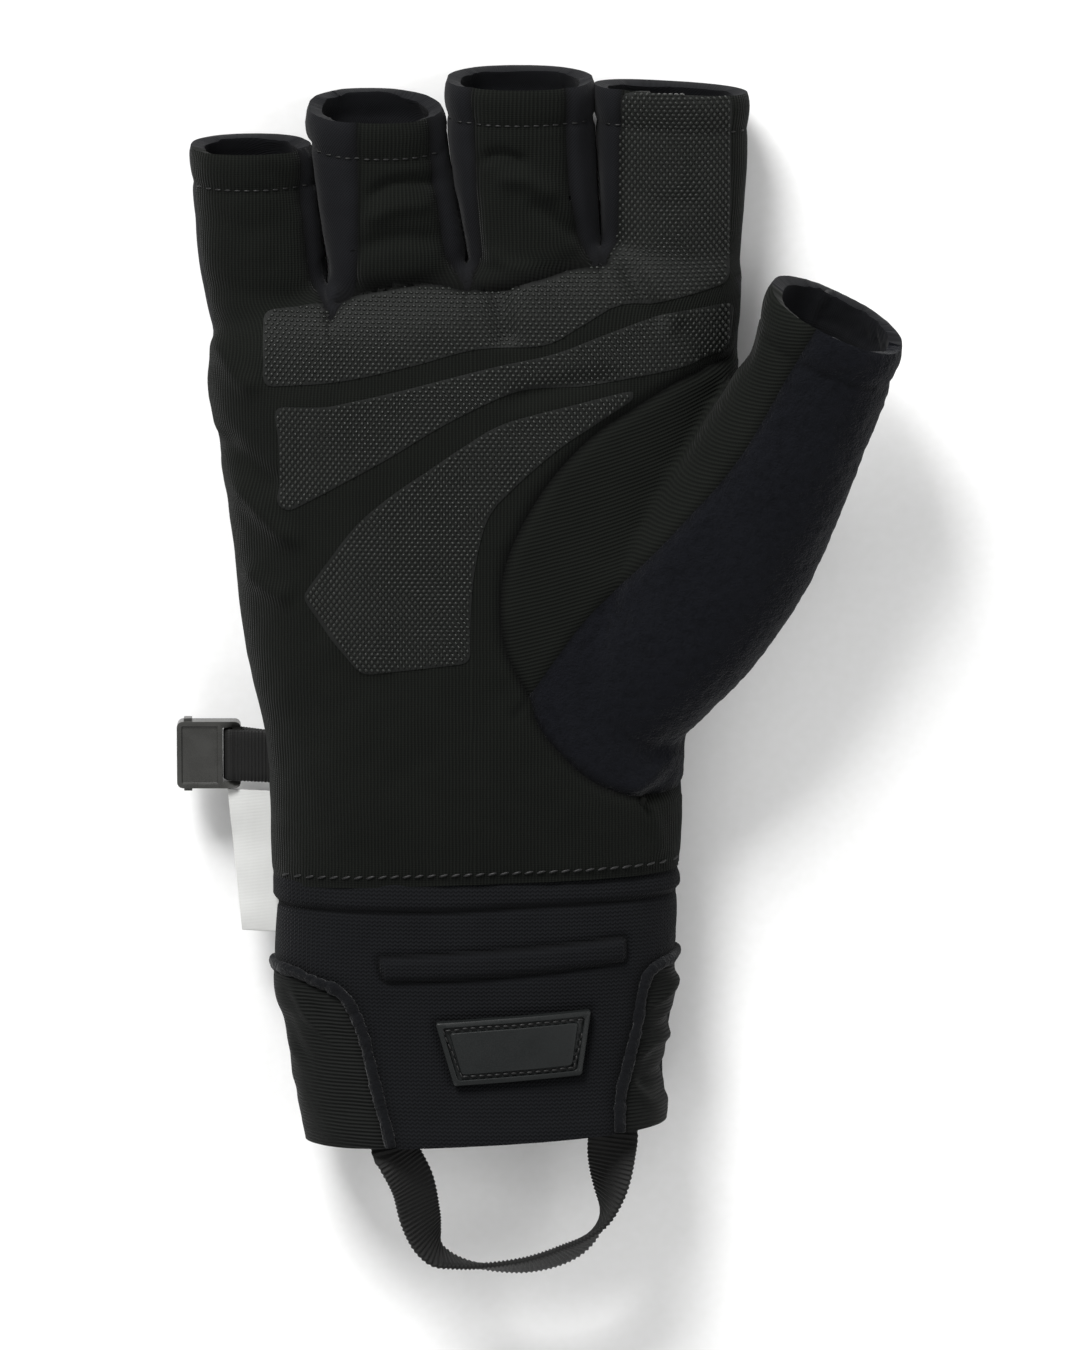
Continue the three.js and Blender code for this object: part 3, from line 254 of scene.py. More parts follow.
LABEL_DROP = 28.8
LABEL_REACH = 8.3
LABEL_SLANT = 2.8

# Folds in the cloth of the hand: points in mm, height (a valley is negative) and half width in mm
FOLDS = (
    (((-63, 40.9), (-58.8, 38.2), (-52.2, 31.5), (-46.4, 27.3)), 1.7, 2.0),
    (((-59.6, 23.2), (-53, 18.9), (-48, 17.5)), 1.2, 2.0),
    (((-65.4, 69.1), (-59.6, 61.6), (-55.4, 57.3)), 1.3, 2.2),
    (((-66, 50), (-58, 44), (-50, 37.8)), -1.4, 2.4),
    (((-8.6, 81), (-8.2, 78), (-6.5, 67)), -1.5, 2.4),
    (((16, 86), (17.6, 82.5), (22, 75.9), (26, 71)), -1.5, 2.2),
    (((25.6, 73.4), (32, 66.6), (35, 62)), -1.1, 2.4),
    (((-10, 55.5), (-2.4, 58.5), (10.8, 61.2), (18, 60)), -1.2, 2.2),
    (((-35.6, 95.1), (-30.6, 98.9), (-24, 99.7), (-18.2, 98.9)), -1.2, 1.3),
    (((-36, 91), (-29, 94.6), (-20, 95.2)), 1.1, 1.8),
    (((-38, 85.5), (-28, 88.6), (-18, 87.6)), -1.1, 1.9),
    (((-12.8, 102.8), (-8.2, 105.2), (-1.6, 103.2)), -1.2, 1.2),
    (((-10, 100.7), (-2, 99.9), (4.5, 95.7)), 1.2, 1.8),
    (((-3, 96.5), (5, 90.6), (9, 87)), -1.2, 1.6),
    (((-11, 86.5), (-6, 82.8), (1, 81.5)), 0.8, 1.8),
    (((-70, 78.6), (-57, 77.2), (-43, 75.6)), -0.55, 2.4),
    (((-70, 92), (-58, 90.5), (-50, 91)), -0.3, 2.2),
    (((8, 16), (22, 26), (36, 40)), 0.9, 4.0),
    (((17, -22.5), (22, -19), (28, -13.5)), 0.9, 1.8),
    (((20, -24), (28, -19.5)), -0.9, 1.6),
    (((22, -25), (24.5, -36)), 0.6, 1.6),
    (((-50, -14), (-40, -20), (-28, -18)), 0.25, 4.0),
    (((-46, 6), (-34, 2), (-20, 4)), -0.25, 4.5),
    (((-44, 12), (-38, 6), (-28, 4)), 0.5, 2.6),
    (((-10, 4), (-4, -4), (8, -8)), -0.4, 3.5),
    (((-56, 104), (-50, 99), (-46, 92)), -0.5, 1.8),
    (((-62, 98), (-56, 90), (-54, 82)), 0.5, 2.2),
    (((17, 100), (24, 96), (33, 97)), -0.35, 2.2),
)
# Creases in the gathered gussets of the cuff
CREASES = (
    (((-50.4, -60.5), (-46.5, -68), (-38.6, -75)), 0.7, 1.1),
    (((-52, -66), (-49, -74), (-45, -80)), -0.5, 1.4),
    (((-50, -60.2), (-44, -62.2), (-39, -66)), -0.5, 1.1),
    (((20, -67), (25, -64.5), (29, -60)), 0.8, 1.0),
    (((19, -70), (24, -70.5), (28, -69)), -0.7, 1.2),
    (((18.5, -77), (23, -74), (28, -73.5)), 0.8, 1.1),
    (((18.5, -82), (23, -81), (28, -79)), -0.8, 1.3),
    (((17.5, -80), (22, -85.5), (27, -87)), 0.7, 1.1),
)

FILM_HEIGHT = 0.16
DOT_RISE = 0.12
DOT_SHAPE = (1, 0.7, 1, 1)  # dots are shorter along the hand than across

# The stage, in metres and watts
FLOOR_HALF = 3.0
FLOOR_GAP = 0.0002  # the floor lies this far below the glove
LIGHTS = (  # name, place, size and power
    ("key", (-0.75, 1.8, 1.15), 0.85, 74.0),
    ("fill", (0.9, 0.1, 0.9), 0.8, 5.0),
    ("low", (-0.5, -1.0, 0.8), 0.8, 4.0),
)
WORLD_LIGHT = 0.4
CAMERA_TARGET = (0, 0, 0.015)
CAMERA_DISTANCE = 1.8
CAMERA_TILT = math.radians(10)
CAMERA_SENSOR = 24
VIEW_HEIGHT = 0.27  # of the picture, at the target

FORMS = {}  # finished surfaces that later pieces lie on


# Small helpers on tables, curves and outlines

def on_palm(point):
    """Millimetres of a point given as shares of the palm."""
    return point[0] * PALM_WIDTH, WRIST_Y + point[1] * PALM_LENGTH


def on_cuff(point):
    """Millimetres of a point given as shares of the cuff."""
    return point[0] * CUFF_WIDTH, WRIST_Y - point[1] * CUFF_LENGTH


def read_rows(rows, share):
    """The columns of a table at a share, on a smooth curve through its rows."""
    along = rows[:, 0]
    i = int(np.clip(np.searchsorted(along, share) - 1, 0, len(rows) - 2))

    def slope(k):
        before, after = rows[max(k - 1, 0)], rows[min(k + 1, len(rows) - 1)]
        return (after[1:] - before[1:]) / (after[0] - before[0])

    span = along[i + 1] - along[i]
    t = min(max((share - along[i]) / span, 0.0), 1.0)
    rise = t * t * (3 - 2 * t)
    bend = t * (1 - t) * span
    return (rows[i, 1:] * (1 - rise) + rows[i + 1, 1:] * rise
            + bend * ((1 - t) * slope(i) - t * slope(i + 1)))


def smooth_line(points, spacing, closed=False):
    """Evenly spaced points on a smooth curve through a few points."""
    p = np.array(points, float)
    ends = (p[-1:], p[:1], p[1:2]) if closed else (2 * p[:1] - p[1:2], 2 * p[-1:] - p[-2:-1])
    p = np.vstack((ends[0], p) + ends[1:])
    t = np.linspace(0, 1, 24, endpoint=False)[:, None]
    parts = [0.5 * (2 * b + (c - a) * t + (2 * a - 5 * b + 4 * c - d) * t ** 2
                    + (3 * b - a - 3 * c + d) * t ** 3)
             for a, b, c, d in zip(p, p[1:], p[2:], p[3:])]
    fine = np.vstack(parts + [p[-2:-1]])
    length = np.concatenate(([0], np.cumsum(np.linalg.norm(np.diff(fine, axis=0), axis=1))))
    count = max(2, round(length[-1] / spacing))
    at = np.linspace(0, length[-1], count + 1)
    return np.column_stack([np.interp(at, length, fine[:, k]) for k in range(fine.shape[1])])


def palm_line(points, spacing=2.0):
    """A smooth line through points given as shares of the palm."""
    return smooth_line([on_palm(p) for p in points], spacing)


def outline_of(sides, place, radius, spacing=2.0):
    """A closed outline of smooth sides that meet at rounded corners."""
    lines = [smooth_line([place(p) for p in side], 0.5) for side in sides]
    points = []
    for i, line in enumerate(lines):
        following = lines[(i + 1) % len(lines)]
        cut = max(1, min(round(radius / 0.5), len(line) // 3))
        cut_next = max(1, min(round(radius / 0.5), len(following) // 3))
        points.extend(line[cut:-cut:max(1, round(spacing / 0.5))])
        start, corner, end = line[-cut - 1], line[-1], following[cut_next]
        for t in (0.0, 0.33, 0.67):
            points.append((1 - t) ** 2 * start + 2 * t * (1 - t) * corner + t * t * end)
    return np.array(points)


def inside(points, outline):
    """Which points lie inside a closed outline, seen from above."""
    x, y = points[:, 0], points[:, 1]
    result = np.zeros(len(points), bool)
    a = np.asarray(outline)[:, :2]
    for (x0, y0), (x1, y1) in zip(a, np.roll(a, -1, axis=0)):
        if y0 == y1:
            continue
        result ^= ((y0 > y) != (y1 > y)) & (x < (x1 - x0) * (y - y0) / (y1 - y0) + x0)
    return result


def to_line(points, line):
    """Distance of points from a line, seen from above, and the share of its length that is nearest."""
    near = np.full(len(points), 1e9)
    share = np.zeros(len(points))
    line = np.asarray(line)[:, :2]
    p = points[:, :2]
    length = np.concatenate(([0], np.cumsum(np.linalg.norm(np.diff(line, axis=0), axis=1))))
    for i, (a, b) in enumerate(zip(line, line[1:])):
        d = b - a
        size = float(d @ d)
        if size == 0:
            continue
        t = np.clip(((p - a) @ d) / size, 0, 1)
        distance = np.linalg.norm(p - a - t[:, None] * d, axis=1)
        nearer = distance < near
        near[nearer] = distance[nearer]
        share[nearer] = (length[i] + t[nearer] * math.sqrt(size)) / length[-1]
    return near, share


def closed(outline):
    """The outline with its first point again at its end."""
    return np.vstack((outline, outline[:1]))


def ease(value, low, high):
    """0 below low, 1 above high and smooth between."""
    t = np.clip((value - low) / (high - low), 0, 1)
    return t * t * (3 - 2 * t)


def hump(distance, width):
    """1 on a line, falling softly to nothing beside it."""
    return np.exp(-(distance / width) ** 2)


def unevenness(points, scale, seed):
    """Soft random values from -1 to 1 over points, for cloth that isn't quite even."""
    shift = Vector((seed * 17.3, seed * 5.1, seed * 9.7))
    return np.array([noise.noise(Vector(p) / scale + shift) for p in points])


# The forms of the hand

def oval(count, roundness):
    """Unit outline of a section, from the right side over the top."""
    angle = np.linspace(0, 2 * np.pi, count + 1)
    u, v = np.cos(angle), np.sin(angle)
    power = 2 / roundness
    return np.sign(u) * abs(u) ** power, np.sign(v) * abs(v) ** power


def hand_ring(y, left, right, top, skew, count=120):
    """Section of the hand or cuff across its long axis, flat where it rests."""
    u, v = oval(count, 2.5)
    x = (right - left) / 2 + (right + left) / 2 * u
    z = SEAM_HEIGHT + v * np.where(v > 0, top - SEAM_HEIGHT, SEAM_HEIGHT + 1)
    return np.column_stack((x, y + skew * x, np.maximum(z, 0)))


def hand_at(share):
    """Half widths, height and skew of the hand's section at a share of the palm's length."""
    left, right, top, skew = read_rows(HAND_SECTIONS, share)
    return left * PALM_WIDTH, right * PALM_WIDTH, top * PALM_THICKNESS, skew


def palm_rings():
    """Rings from just below the wrist to the knuckles."""
    rings = [hand_ring(WRIST_Y - 6, *hand_at(0))]
    for share in np.linspace(0, 0.986, 60):
        rings.append(hand_ring(WRIST_Y + share * PALM_LENGTH, *hand_at(share)))
    return rings


def crotch_line(x):
    """Height along the hand of the crotches, which fall to the little finger."""
    return np.interp(x, (-60, -41.5, -14.7, 11.6, 40), (70, 73, 79.5, 83, 86))


def slimming(x, y, finger, u):
    """How much a side of a finger tube is slimmed, so that the skin doesn't close the gap beside it."""
    outer = np.where(u < 0, finger is FINGERS[0], finger is FINGERS[-1])
    return np.where(outer, 0.0, ease(y - crotch_line(x), -3, 4))


def finger_section(finger, share):
    """Middle, half width, waist height, height above and below it, and y of a finger's section."""
    sides, reach, depth = finger[:3]
    rim_y = CROTCH_Y + reach * FINGER_LENGTH
    root_y = CROTCH_Y - FINGER_ROOT + KNUCKLE_SKEW * sides[0, 1] * PALM_WIDTH
    left, right = read_rows(sides, min(share, 1)) * PALM_WIDTH
    girth, low = read_rows(FINGER_PROFILE, min(share, 1)) * FINGER_THICKNESS
    deep = depth * girth
    return (left + right) / 2, (right - left) / 2, low + deep / 2, deep / 2, root_y + share * (rim_y - root_y)


def finger_at(finger, y):
    """Middle, half width, waist height and half depth of a finger at heights along the hand."""
    samples = np.array([finger_section(finger, share) for share in np.linspace(0, 1.1, 23)])
    return [np.interp(y, samples[:, 4], samples[:, k]) for k in range(4)]


def finger_rings(finger):
    """Rings of a finger tube from its root to just past its rim."""
    u, v = oval(56, 2.3)
    slant, tilt = finger[3:]
    rings = []
    for share in np.append(np.linspace(0, 1, 26), 1.09):
        x, half, waist, deep, y = finger_section(finger, share)
        wide = half - slimming(x, y, finger, u)
        z = np.maximum(waist + v * deep, 0)
        lean = min(share, 1) * (slant * (z - waist) + tilt * half * u)
        rings.append(np.column_stack((x + wide * u, y + lean, z)))
    return rings


THUMB_TURN = math.radians(THUMB_SPREAD)
THUMB_ALONG = np.array((math.sin(THUMB_TURN), math.cos(THUMB_TURN), 0))
THUMB_ACROSS = np.array((math.cos(THUMB_TURN), -math.sin(THUMB_TURN), 0))


def thumb_point(along, across, height):
    """A point in the thumb's own frame."""
    x, y = on_palm(THUMB_ROOT)
    return np.array((x, y, height)) + along * THUMB_LENGTH * THUMB_ALONG + across * THUMB_ACROSS


def thumb_frame(share):
    """Middle of a thumb section, the directions ahead, aside and up, and half its width and depth."""
    def centre(at):
        lift = read_rows(THUMB_SECTIONS, at)[0]
        return thumb_point(at, THUMB_BOW * 4 * at * (1 - at), lift * PALM_THICKNESS)

    _, width, depth = read_rows(THUMB_SECTIONS, share)
    ahead = centre(share + 0.02) - centre(share - 0.02)
    ahead /= np.linalg.norm(ahead)
    side = np.cross(ahead, (0, 0, 1))
    side /= np.linalg.norm(side)
    up = np.cross(side, ahead)
    return centre(share), ahead, side, up, width * THUMB_WIDTH / 2, depth * THUMB_THICKNESS / 2


def thumb_rim():
    """A point on the thumb's rim, the direction ahead and the normal of the rim's plane."""
    middle, ahead, side, up, _, _ = thumb_frame(1.0)
    normal = ahead - THUMB_RIM_SLANT * up - THUMB_RIM_TILT * side
    return middle, ahead, normal / np.linalg.norm(normal)


def thumb_rings():
    """Rings of the thumb from its root in the palm to just past its rim."""
    u, v = oval(72, 2.2)
    rings = []
    for share in np.append(np.linspace(0, 1, 40), 1.0):
        middle, ahead, side, up, wide, deep = thumb_frame(share)
        rise, reach = (v * deep)[:, None], (u * wide)[:, None]
        lean = share * (THUMB_RIM_SLANT * rise + THUMB_RIM_TILT * reach)
        rings.append(middle + side * reach + up * rise + ahead * lean)
    rings[-1] = rings[-1] + THUMB_ALONG * OVERRUN
    return rings


def wrap_grid(bm, rings, cloth=None):
    """A grid bent along rings of points, joined where it meets itself, with a cloth map in mm if given."""
    rings = np.array(rings)
    rows, columns = rings.shape[:2]
    verts = bmesh.ops.create_grid(bm, x_segments=columns - 1, y_segments=rows - 1, size=1)["verts"]
    for i, (vert, place) in enumerate(zip(verts, rings.reshape(-1, 3))):
        vert.co = place
        vert.index = i
    if cloth is not None:
        map_faces(bm, np.reshape(cloth, (-1, 2)))
    bmesh.ops.remove_doubles(bm, verts=verts, dist=1e-4)


def map_faces(bm, cloth):
    """Writes the cloth map of every vertex, by its index, to the corners of its faces."""
    layer = bm.loops.layers.uv.new("Cloth")
    for face in bm.faces:
        for loop in face.loops:
            loop[layer].uv = cloth[loop.vert.index] * MM


def close_ends(bm):
    """Closes the open ends of tubes and turns their faces outward."""
    bmesh.ops.holes_fill(bm, edges=[e for e in bm.edges if e.is_boundary], sides=0)
    bmesh.ops.recalc_face_normals(bm, faces=bm.faces)


def soften(bm, verts, times=1):
    """Moves vertices halfway to the middle of their neighbours."""
    for _ in range(times):
        bmesh.ops.smooth_vert(bm, verts=verts, factor=0.5, use_axis_x=True, use_axis_y=True, use_axis_z=True)


def settle(bm):
    """Keeps every vertex on or above the surface that the glove lies on."""
    for vert in bm.verts:
        vert.co.z = max(vert.co.z, 0.0)


def skin_over(rings_of_bodies, voxel):
    """One closed skin over overlapping bodies."""
    bm = bmesh.new()
    for rings in rings_of_bodies:
        wrap_grid(bm, rings)
    close_ends(bm)
    mesh = bpy.data.meshes.new("skin")
    bm.to_mesh(mesh)
    bm.free()
    carrier = bpy.data.objects.new("skin", mesh)
    bpy.context.scene.collection.objects.link(carrier)
    modifier = carrier.modifiers.new("skin", "REMESH")
    modifier.mode = "VOXEL"
    modifier.voxel_size = voxel
    graph = bpy.context.evaluated_depsgraph_get()
    skinned = bpy.data.meshes.new_from_object(carrier.evaluated_get(graph))
    result = bmesh.new()
    result.from_mesh(skinned)
    bpy.data.objects.remove(carrier)
    bpy.data.meshes.remove(mesh)
    bpy.data.meshes.remove(skinned)
    soften(result, result.verts, 4)
    return result


def centres_of(bm):
    """The middle of every face."""
    return np.array([f.calc_center_median() for f in bm.faces]).reshape(-1, 3)


def places_of(bm):
    """The place of every vertex."""
    return np.array([v.co for v in bm.verts]).reshape(-1, 3)


def edges_and_verts(faces):
    """The edges and vertices of faces, each once and in a fixed order, so that every run cuts alike."""
    edges = dict.fromkeys(e for f in faces for e in f.edges)
    verts = dict.fromkeys(v for f in faces for v in f.verts)
    return list(edges), list(verts)


def cut_along(bm, line, low=-99.0, high=999.0):
    """Cuts the faces under a line drawn from above, so that the line becomes edges."""
    line = np.asarray(line)[:, :2]
    centres = centres_of(bm)
    distance, _ = to_line(centres, line)
    near = (distance < 2.5) & (centres[:, 2] > low) & (centres[:, 2] < high)
    bm.faces.ensure_lookup_table()
    faces = {bm.faces[i]: tuple(centres[i, :2]) for i in np.flatnonzero(near)}
    cut = []
    for a, b in zip(line, line[1:]):
        d = b - a
        length = float(np.linalg.norm(d))
        if length < 1e-6:
            continue
        (ax, ay), (dx, dy) = (float(v) for v in a), (float(v) / length for v in d)

        def under(face):
            shares = [(v.co.x - ax) * dx + (v.co.y - ay) * dy for v in face.verts]
            sides = [(v.co.y - ay) * dx - (v.co.x - ax) * dy for v in face.verts]
            return max(shares) > 0 and min(shares) < length and min(sides) < 0 < max(sides)

        # Only faces whose middle is close to this stretch are looked at
        close = [f for f, (x, y) in faces.items()
                 if -1.5 < (x - ax) * dx + (y - ay) * dy < length + 1.5
                 and abs((y - ay) * dx - (x - ax) * dy) < 1.3]
        local = [f for f in close if f.is_valid and under(f)]
        if not local:
            continue
        edges, verts = edges_and_verts(local)
        made = bmesh.ops.bisect_plane(bm, geom=local + edges + verts, dist=1e-3,
                                      plane_co=(ax, ay, 0), plane_no=(-dy, dx, 0))
        for item in made["geom"]:
            if isinstance(item, bmesh.types.BMFace):
                faces[item] = tuple(item.calc_center_median().xy)
        cut.extend(g for g in made["geom_cut"] if isinstance(g, bmesh.types.BMVert))
    verts = list(dict.fromkeys(v for v in cut if v.is_valid))
    bmesh.ops.remove_doubles(bm, verts=verts, dist=0.12)


def cut_level(bm, point, normal, keep=None, snap=0.0):
    """Cuts faces by a plane, all or those that a test allows; vertices nearer than snap move onto it."""
    faces = bm.faces[:] if keep is None else [f for f, allowed in zip(bm.faces, keep(bm)) if allowed]
    edges, verts = edges_and_verts(faces)
    for vert in verts:
        away = (vert.co - Vector(point)).dot(Vector(normal))
        if abs(away) < snap:
            vert.co -= Vector(normal) * away
    bmesh.ops.bisect_plane(bm, geom=faces + edges + verts, dist=1e-3, plane_co=point, plane_no=normal)


def drop_faces(bm, unwanted):
    """Deletes the faces that an array marks."""
    bm.faces.ensure_lookup_table()
    gone = [bm.faces[i] for i in np.flatnonzero(unwanted)]
    bmesh.ops.delete(bm, geom=gone, context="FACES")


def part_of(bm, wanted):
    """A copy that keeps only the faces that an array marks."""
    copy = bm.copy()
    drop_faces(copy, ~wanted)
    bmesh.ops.delete(copy, geom=[v for v in copy.verts if not v.link_faces], context="VERTS")
    return copy


def mark(bm, name, values):
    """Keeps a value for every vertex under a name, which a material reads."""
    layer = bm.verts.layers.float.get(name) or bm.verts.layers.float.new(name)
    for vert, value in zip(bm.verts, values):
        vert[layer] = float(value)


def mark_roll(bm, weights):
    """Keeps how full the wall is at every vertex, for the rolled rims."""
    layer = bm.verts.layers.deform.verify()
    for vert, weight in zip(bm.verts, weights):
        vert[layer][0] = float(weight)


def move_out(bm, distance):
    """Moves every vertex along its normal by its own distance."""
    bm.normal_update()
    for vert, amount in zip(bm.verts, distance):
        vert.co += vert.normal * float(amount)


def folded(points, folds):
    """Height of folds at points: each is a soft ridge or valley along a line that fades at its ends."""
    height = np.zeros(len(points))
    for line, rise, width in folds:
        distance, share = to_line(points, smooth_line(line, 1.0))
        fade = ease(share, 0, 0.25) * (1 - ease(share, 0.75, 1.0))
        height += rise * fade * hump(distance, width)
    return height


def arc_length(u, v, half, height, roundness, from_top):
    """Signed length along a section's outline from its top, or from its bottom."""
    count = 360
    ring_u, ring_v = oval(count, roundness)
    steps = np.hypot(np.diff(ring_u) * half, np.diff(ring_v) * height)
    length = np.concatenate(([0], np.cumsum(steps)))
    angle = np.arctan2(np.sign(v) * abs(v) ** (roundness / 2), np.sign(u) * abs(u) ** (roundness / 2))
    start = np.pi / 2 if from_top else -np.pi / 2
    turn = (angle - start + np.pi) % (2 * np.pi) - np.pi
    quarter = np.interp(np.pi / 2, np.linspace(0, 2 * np.pi, count + 1), length)
    away = np.interp((turn + np.pi / 2) % (2 * np.pi), np.linspace(0, 2 * np.pi, count + 1), length)
    whole = length[-1]
    away = (away - quarter + whole / 2) % whole - whole / 2
    return -away if from_top else away


# Finishing a piece

def finish_piece(bm, name, looks, nodes=(), slot=None, wall=0.0, edge=0.0, rolled=False, crisp=False):
    """Makes an object of a mesh in mm, with its looks outside and inside, its wall and its soft edges."""
    bmesh.ops.transform(bm, matrix=Matrix.Scale(MM, 4), verts=bm.verts)
    mesh = bpy.data.meshes.new(name)
    for look in looks:
        mesh.materials.append(material_for(look))
    bm.to_mesh(mesh)
    bm.free()
    mesh.shade_smooth()
    piece = bpy.data.objects.new(name, mesh)
    bpy.context.scene.collection.objects.link(piece)
    if wall:
        solidify = piece.modifiers.new("wall", "SOLIDIFY")
        solidify.thickness = wall * MM
        if rolled:
            piece.vertex_groups.new(name="Roll")
            solidify.vertex_group = "Roll"
            solidify.thickness_vertex_group = WALL_SHARE
        solidify.offset = -1
        solidify.material_offset = len(looks) - 1
    if edge:
        bevel = piece.modifiers.new("soft edge", "BEVEL")
        bevel.width = edge * MM
        bevel.segments = 2
        bevel.limit_method = "ANGLE"
        bevel.angle_limit = math.radians(50)
        bevel.miter_outer = "MITER_ARC"
    if crisp:
        piece.modifiers.new("flat faces", "WEIGHTED_NORMAL")
    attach(piece, BODY)
    if nodes:
        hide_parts(*nodes)
    return piece


def surface_of(*bms):
    """A tree of the faces of meshes, to lay other pieces on."""
    verts, faces = [], []
    for bm in bms:
        first = len(verts)
        bm.verts.index_update()
        verts.extend(v.co.copy() for v in bm.verts)
        faces.extend([first + v.index for v in f.verts] for f in bm.faces)
    return BVHTree.FromPolygons(verts, faces)


def laid_on(tree, x, y, start=60.0):
    """Place and normal of the cloth straight below a point, or None beside it."""
    place, normal, _, _ = tree.ray_cast(Vector((x, y, start)), Vector((0, 0, -1)))
    return (place, normal) if place is not None else None


# Materials

def to_linear(hex_colour):
    """An sRGB hex colour as linear values with alpha."""
    values = [int(hex_colour[i:i + 2], 16) / 255 for i in (1, 3, 5)]
    return tuple(v / 12.92 if v <= 0.04045 else ((v + 0.055) / 1.055) ** 2.4 for v in values) + (1.0,)


def add_node(material, kind, inputs=None, **settings):
    """Adds a node with its settings; an input is given a value or another node's output."""
    node = material.node_tree.nodes.new(kind)
    for name, value in settings.items():
        setattr(node, name, value)
    for key, value in (inputs or {}).items():
        if isinstance(value, bpy.types.NodeSocket):
            material.node_tree.links.new(value, node.inputs[key])
        else:
            node.inputs[key].default_value = value
    return node


def new_material(name, finish, ior):
    """A material and its shader, whose finish is its roughness, specular, sheen and sheen roughness."""
    material = bpy.data.materials.new(name)
    material.use_nodes = True
    material.node_tree.nodes.clear()
    inputs = dict(zip(("Roughness", "Specular IOR Level", "Sheen Weight", "Sheen Roughness"), finish))
    shader = add_node(material, "ShaderNodeBsdfPrincipled", {**inputs, "IOR": ior})
    add_node(material, "ShaderNodeOutputMaterial", {"Surface": shader.outputs[0]})
    return material, shader


def colour_of(name):
    """A colour of the palette, or one given as hex, with alpha."""
    if name.startswith("#"):
        return to_linear(name)
    return tuple(getattr(bpy.context.scene.glove_palette, name)) + (1.0,)


def motif(kind, size_mm, tone=0.0, height=0.0, roughness=0.0, **shape):
    """A row of a look: a pattern and its weights in the tone, the height and the roughness."""
    return (tone, height, roughness), {"kind": kind, "size_mm": size_mm, **shape}


def pattern(material, sources, kind, size_mm, detail=2.0, grain=0.5, bend=None):
    """Values from 0 to 1: random lumps, or waves across or along the cloth that another pattern may bend."""
    if kind == "lumps":
        inputs = {"Vector": sources["place"], "Scale": 1 / (size_mm * MM), "Detail": detail,
                  "Roughness": grain}
        return add_node(material, "ShaderNodeTexNoise", inputs).outputs[0]
    inputs = {0: sources[kind], 1: 2 * math.pi / (size_mm * MM)}
    turns = add_node(material, "ShaderNodeMath", inputs, operation="MULTIPLY")
    if bend:
        amount, *bender = bend
        inputs = {0: pattern(material, sources, *bender), 1: amount, 2: turns.outputs[0]}
        turns = add_node(material, "ShaderNodeMath", inputs, operation="MULTIPLY_ADD")
    sine = add_node(material, "ShaderNodeMath", {0: turns.outputs[0]}, operation="SINE")
    inputs = {0: sine.outputs[0], 1: 0.5, 2: 0.5}
    return add_node(material, "ShaderNodeMath", inputs, operation="MULTIPLY_ADD").outputs[0]


def patterned(name, finish, colours, bump, motifs, on_cloth=True, turn=0.0, with_painted_shade=True, ior=1.5):
    """A material made of motifs between a dark and a light colour, with a bump's depth in mm and strength,
    and painted shade read from its vertices if asked.
    """
    material, shader = new_material(name, finish, ior)
    if on_cloth:
        cloth = add_node(material, "ShaderNodeUVMap", uv_map="Cloth")
        inputs = {"Vector": cloth.outputs[0], "Rotation": (0, 0, turn)}
        turned = add_node(material, "ShaderNodeMapping", inputs)
        axes = add_node(material, "ShaderNodeSeparateXYZ", {0: turned.outputs[0]})
        sources = {"place": turned.outputs[0], "across": axes.outputs[0], "along": axes.outputs[1]}
    else:
        sources = {"place": add_node(material, "ShaderNodeTexCoord").outputs["Object"]}
    sums = [None, None, None]
    for weights, shape in motifs:
        value = pattern(material, sources, **shape)
        for i, weight in enumerate(weights):
            if weight:
                inputs = {0: value, 1: weight, 2: 0.0 if sums[i] is None else sums[i]}
                sums[i] = add_node(material, "ShaderNodeMath", inputs, operation="MULTIPLY_ADD").outputs[0]
    tone, height, roughness = sums
    low, high = colours
    inputs = {0: tone, 6: to_linear(low), 7: colour_of(high)}
    colour = add_node(material, "ShaderNodeMix", inputs, data_type="RGBA").outputs[2]
    if with_painted_shade:
        # Painted shade: darker where the cloth lies in a seam or a fold and catches no light
        depth = add_node(material, "ShaderNodeAttribute", attribute_name="Crease").outputs["Fac"]
        dark = add_node(material, "ShaderNodeMath", {0: depth, 1: 0.8}, operation="MULTIPLY").outputs[0]
        inputs = {0: dark, 6: colour, 7: to_linear("#030303")}
        colour = add_node(material, "ShaderNodeMix", inputs, data_type="RGBA").outputs[2]
    links = material.node_tree.links
    links.new(colour, shader.inputs["Base Color"])
    if roughness is not None:
        links.new(roughness, shader.inputs["Roughness"])
    inputs = {"Height": height, "Distance": bump[0] * MM, "Strength": bump[1]}
    links.new(add_node(material, "ShaderNodeBump", inputs).outputs[0], shader.inputs["Normal"])
    return material


def ribbed_knit():
    """Warp-knit nylon with a fine rib, brushed inside: matt, its wales throw tiny shadows."""
    return patterned("nylon_ribbed_knit", (0.9, 0.08, 0.03, 0.4), ("#070807", "knit"), (0.22, 0.9), (
        motif("across", 0.68, tone=0.62, height=0.8, bend=(2.6, "lumps", 5.0, 1.0)),  # wales
        motif("along", 0.45, tone=0.12, height=0.2),  # courses of loops
        motif("lumps", 9.0, tone=0.35, detail=3.0)))


def thumb_knit():
    """The same knit cut on the cross for the thumb, so that its ribs run across."""
    return patterned("nylon_ribbed_knit_cross", (0.9, 0.08, 0.03, 0.4), ("#080908", "knit"), (0.2, 0.9), (
        motif("along", 0.72, tone=0.6, height=0.8, bend=(2.4, "lumps", 6.0, 1.0)),
        motif("across", 0.45, tone=0.12, height=0.2),
        motif("lumps", 9.0, tone=0.35, detail=3.0)))


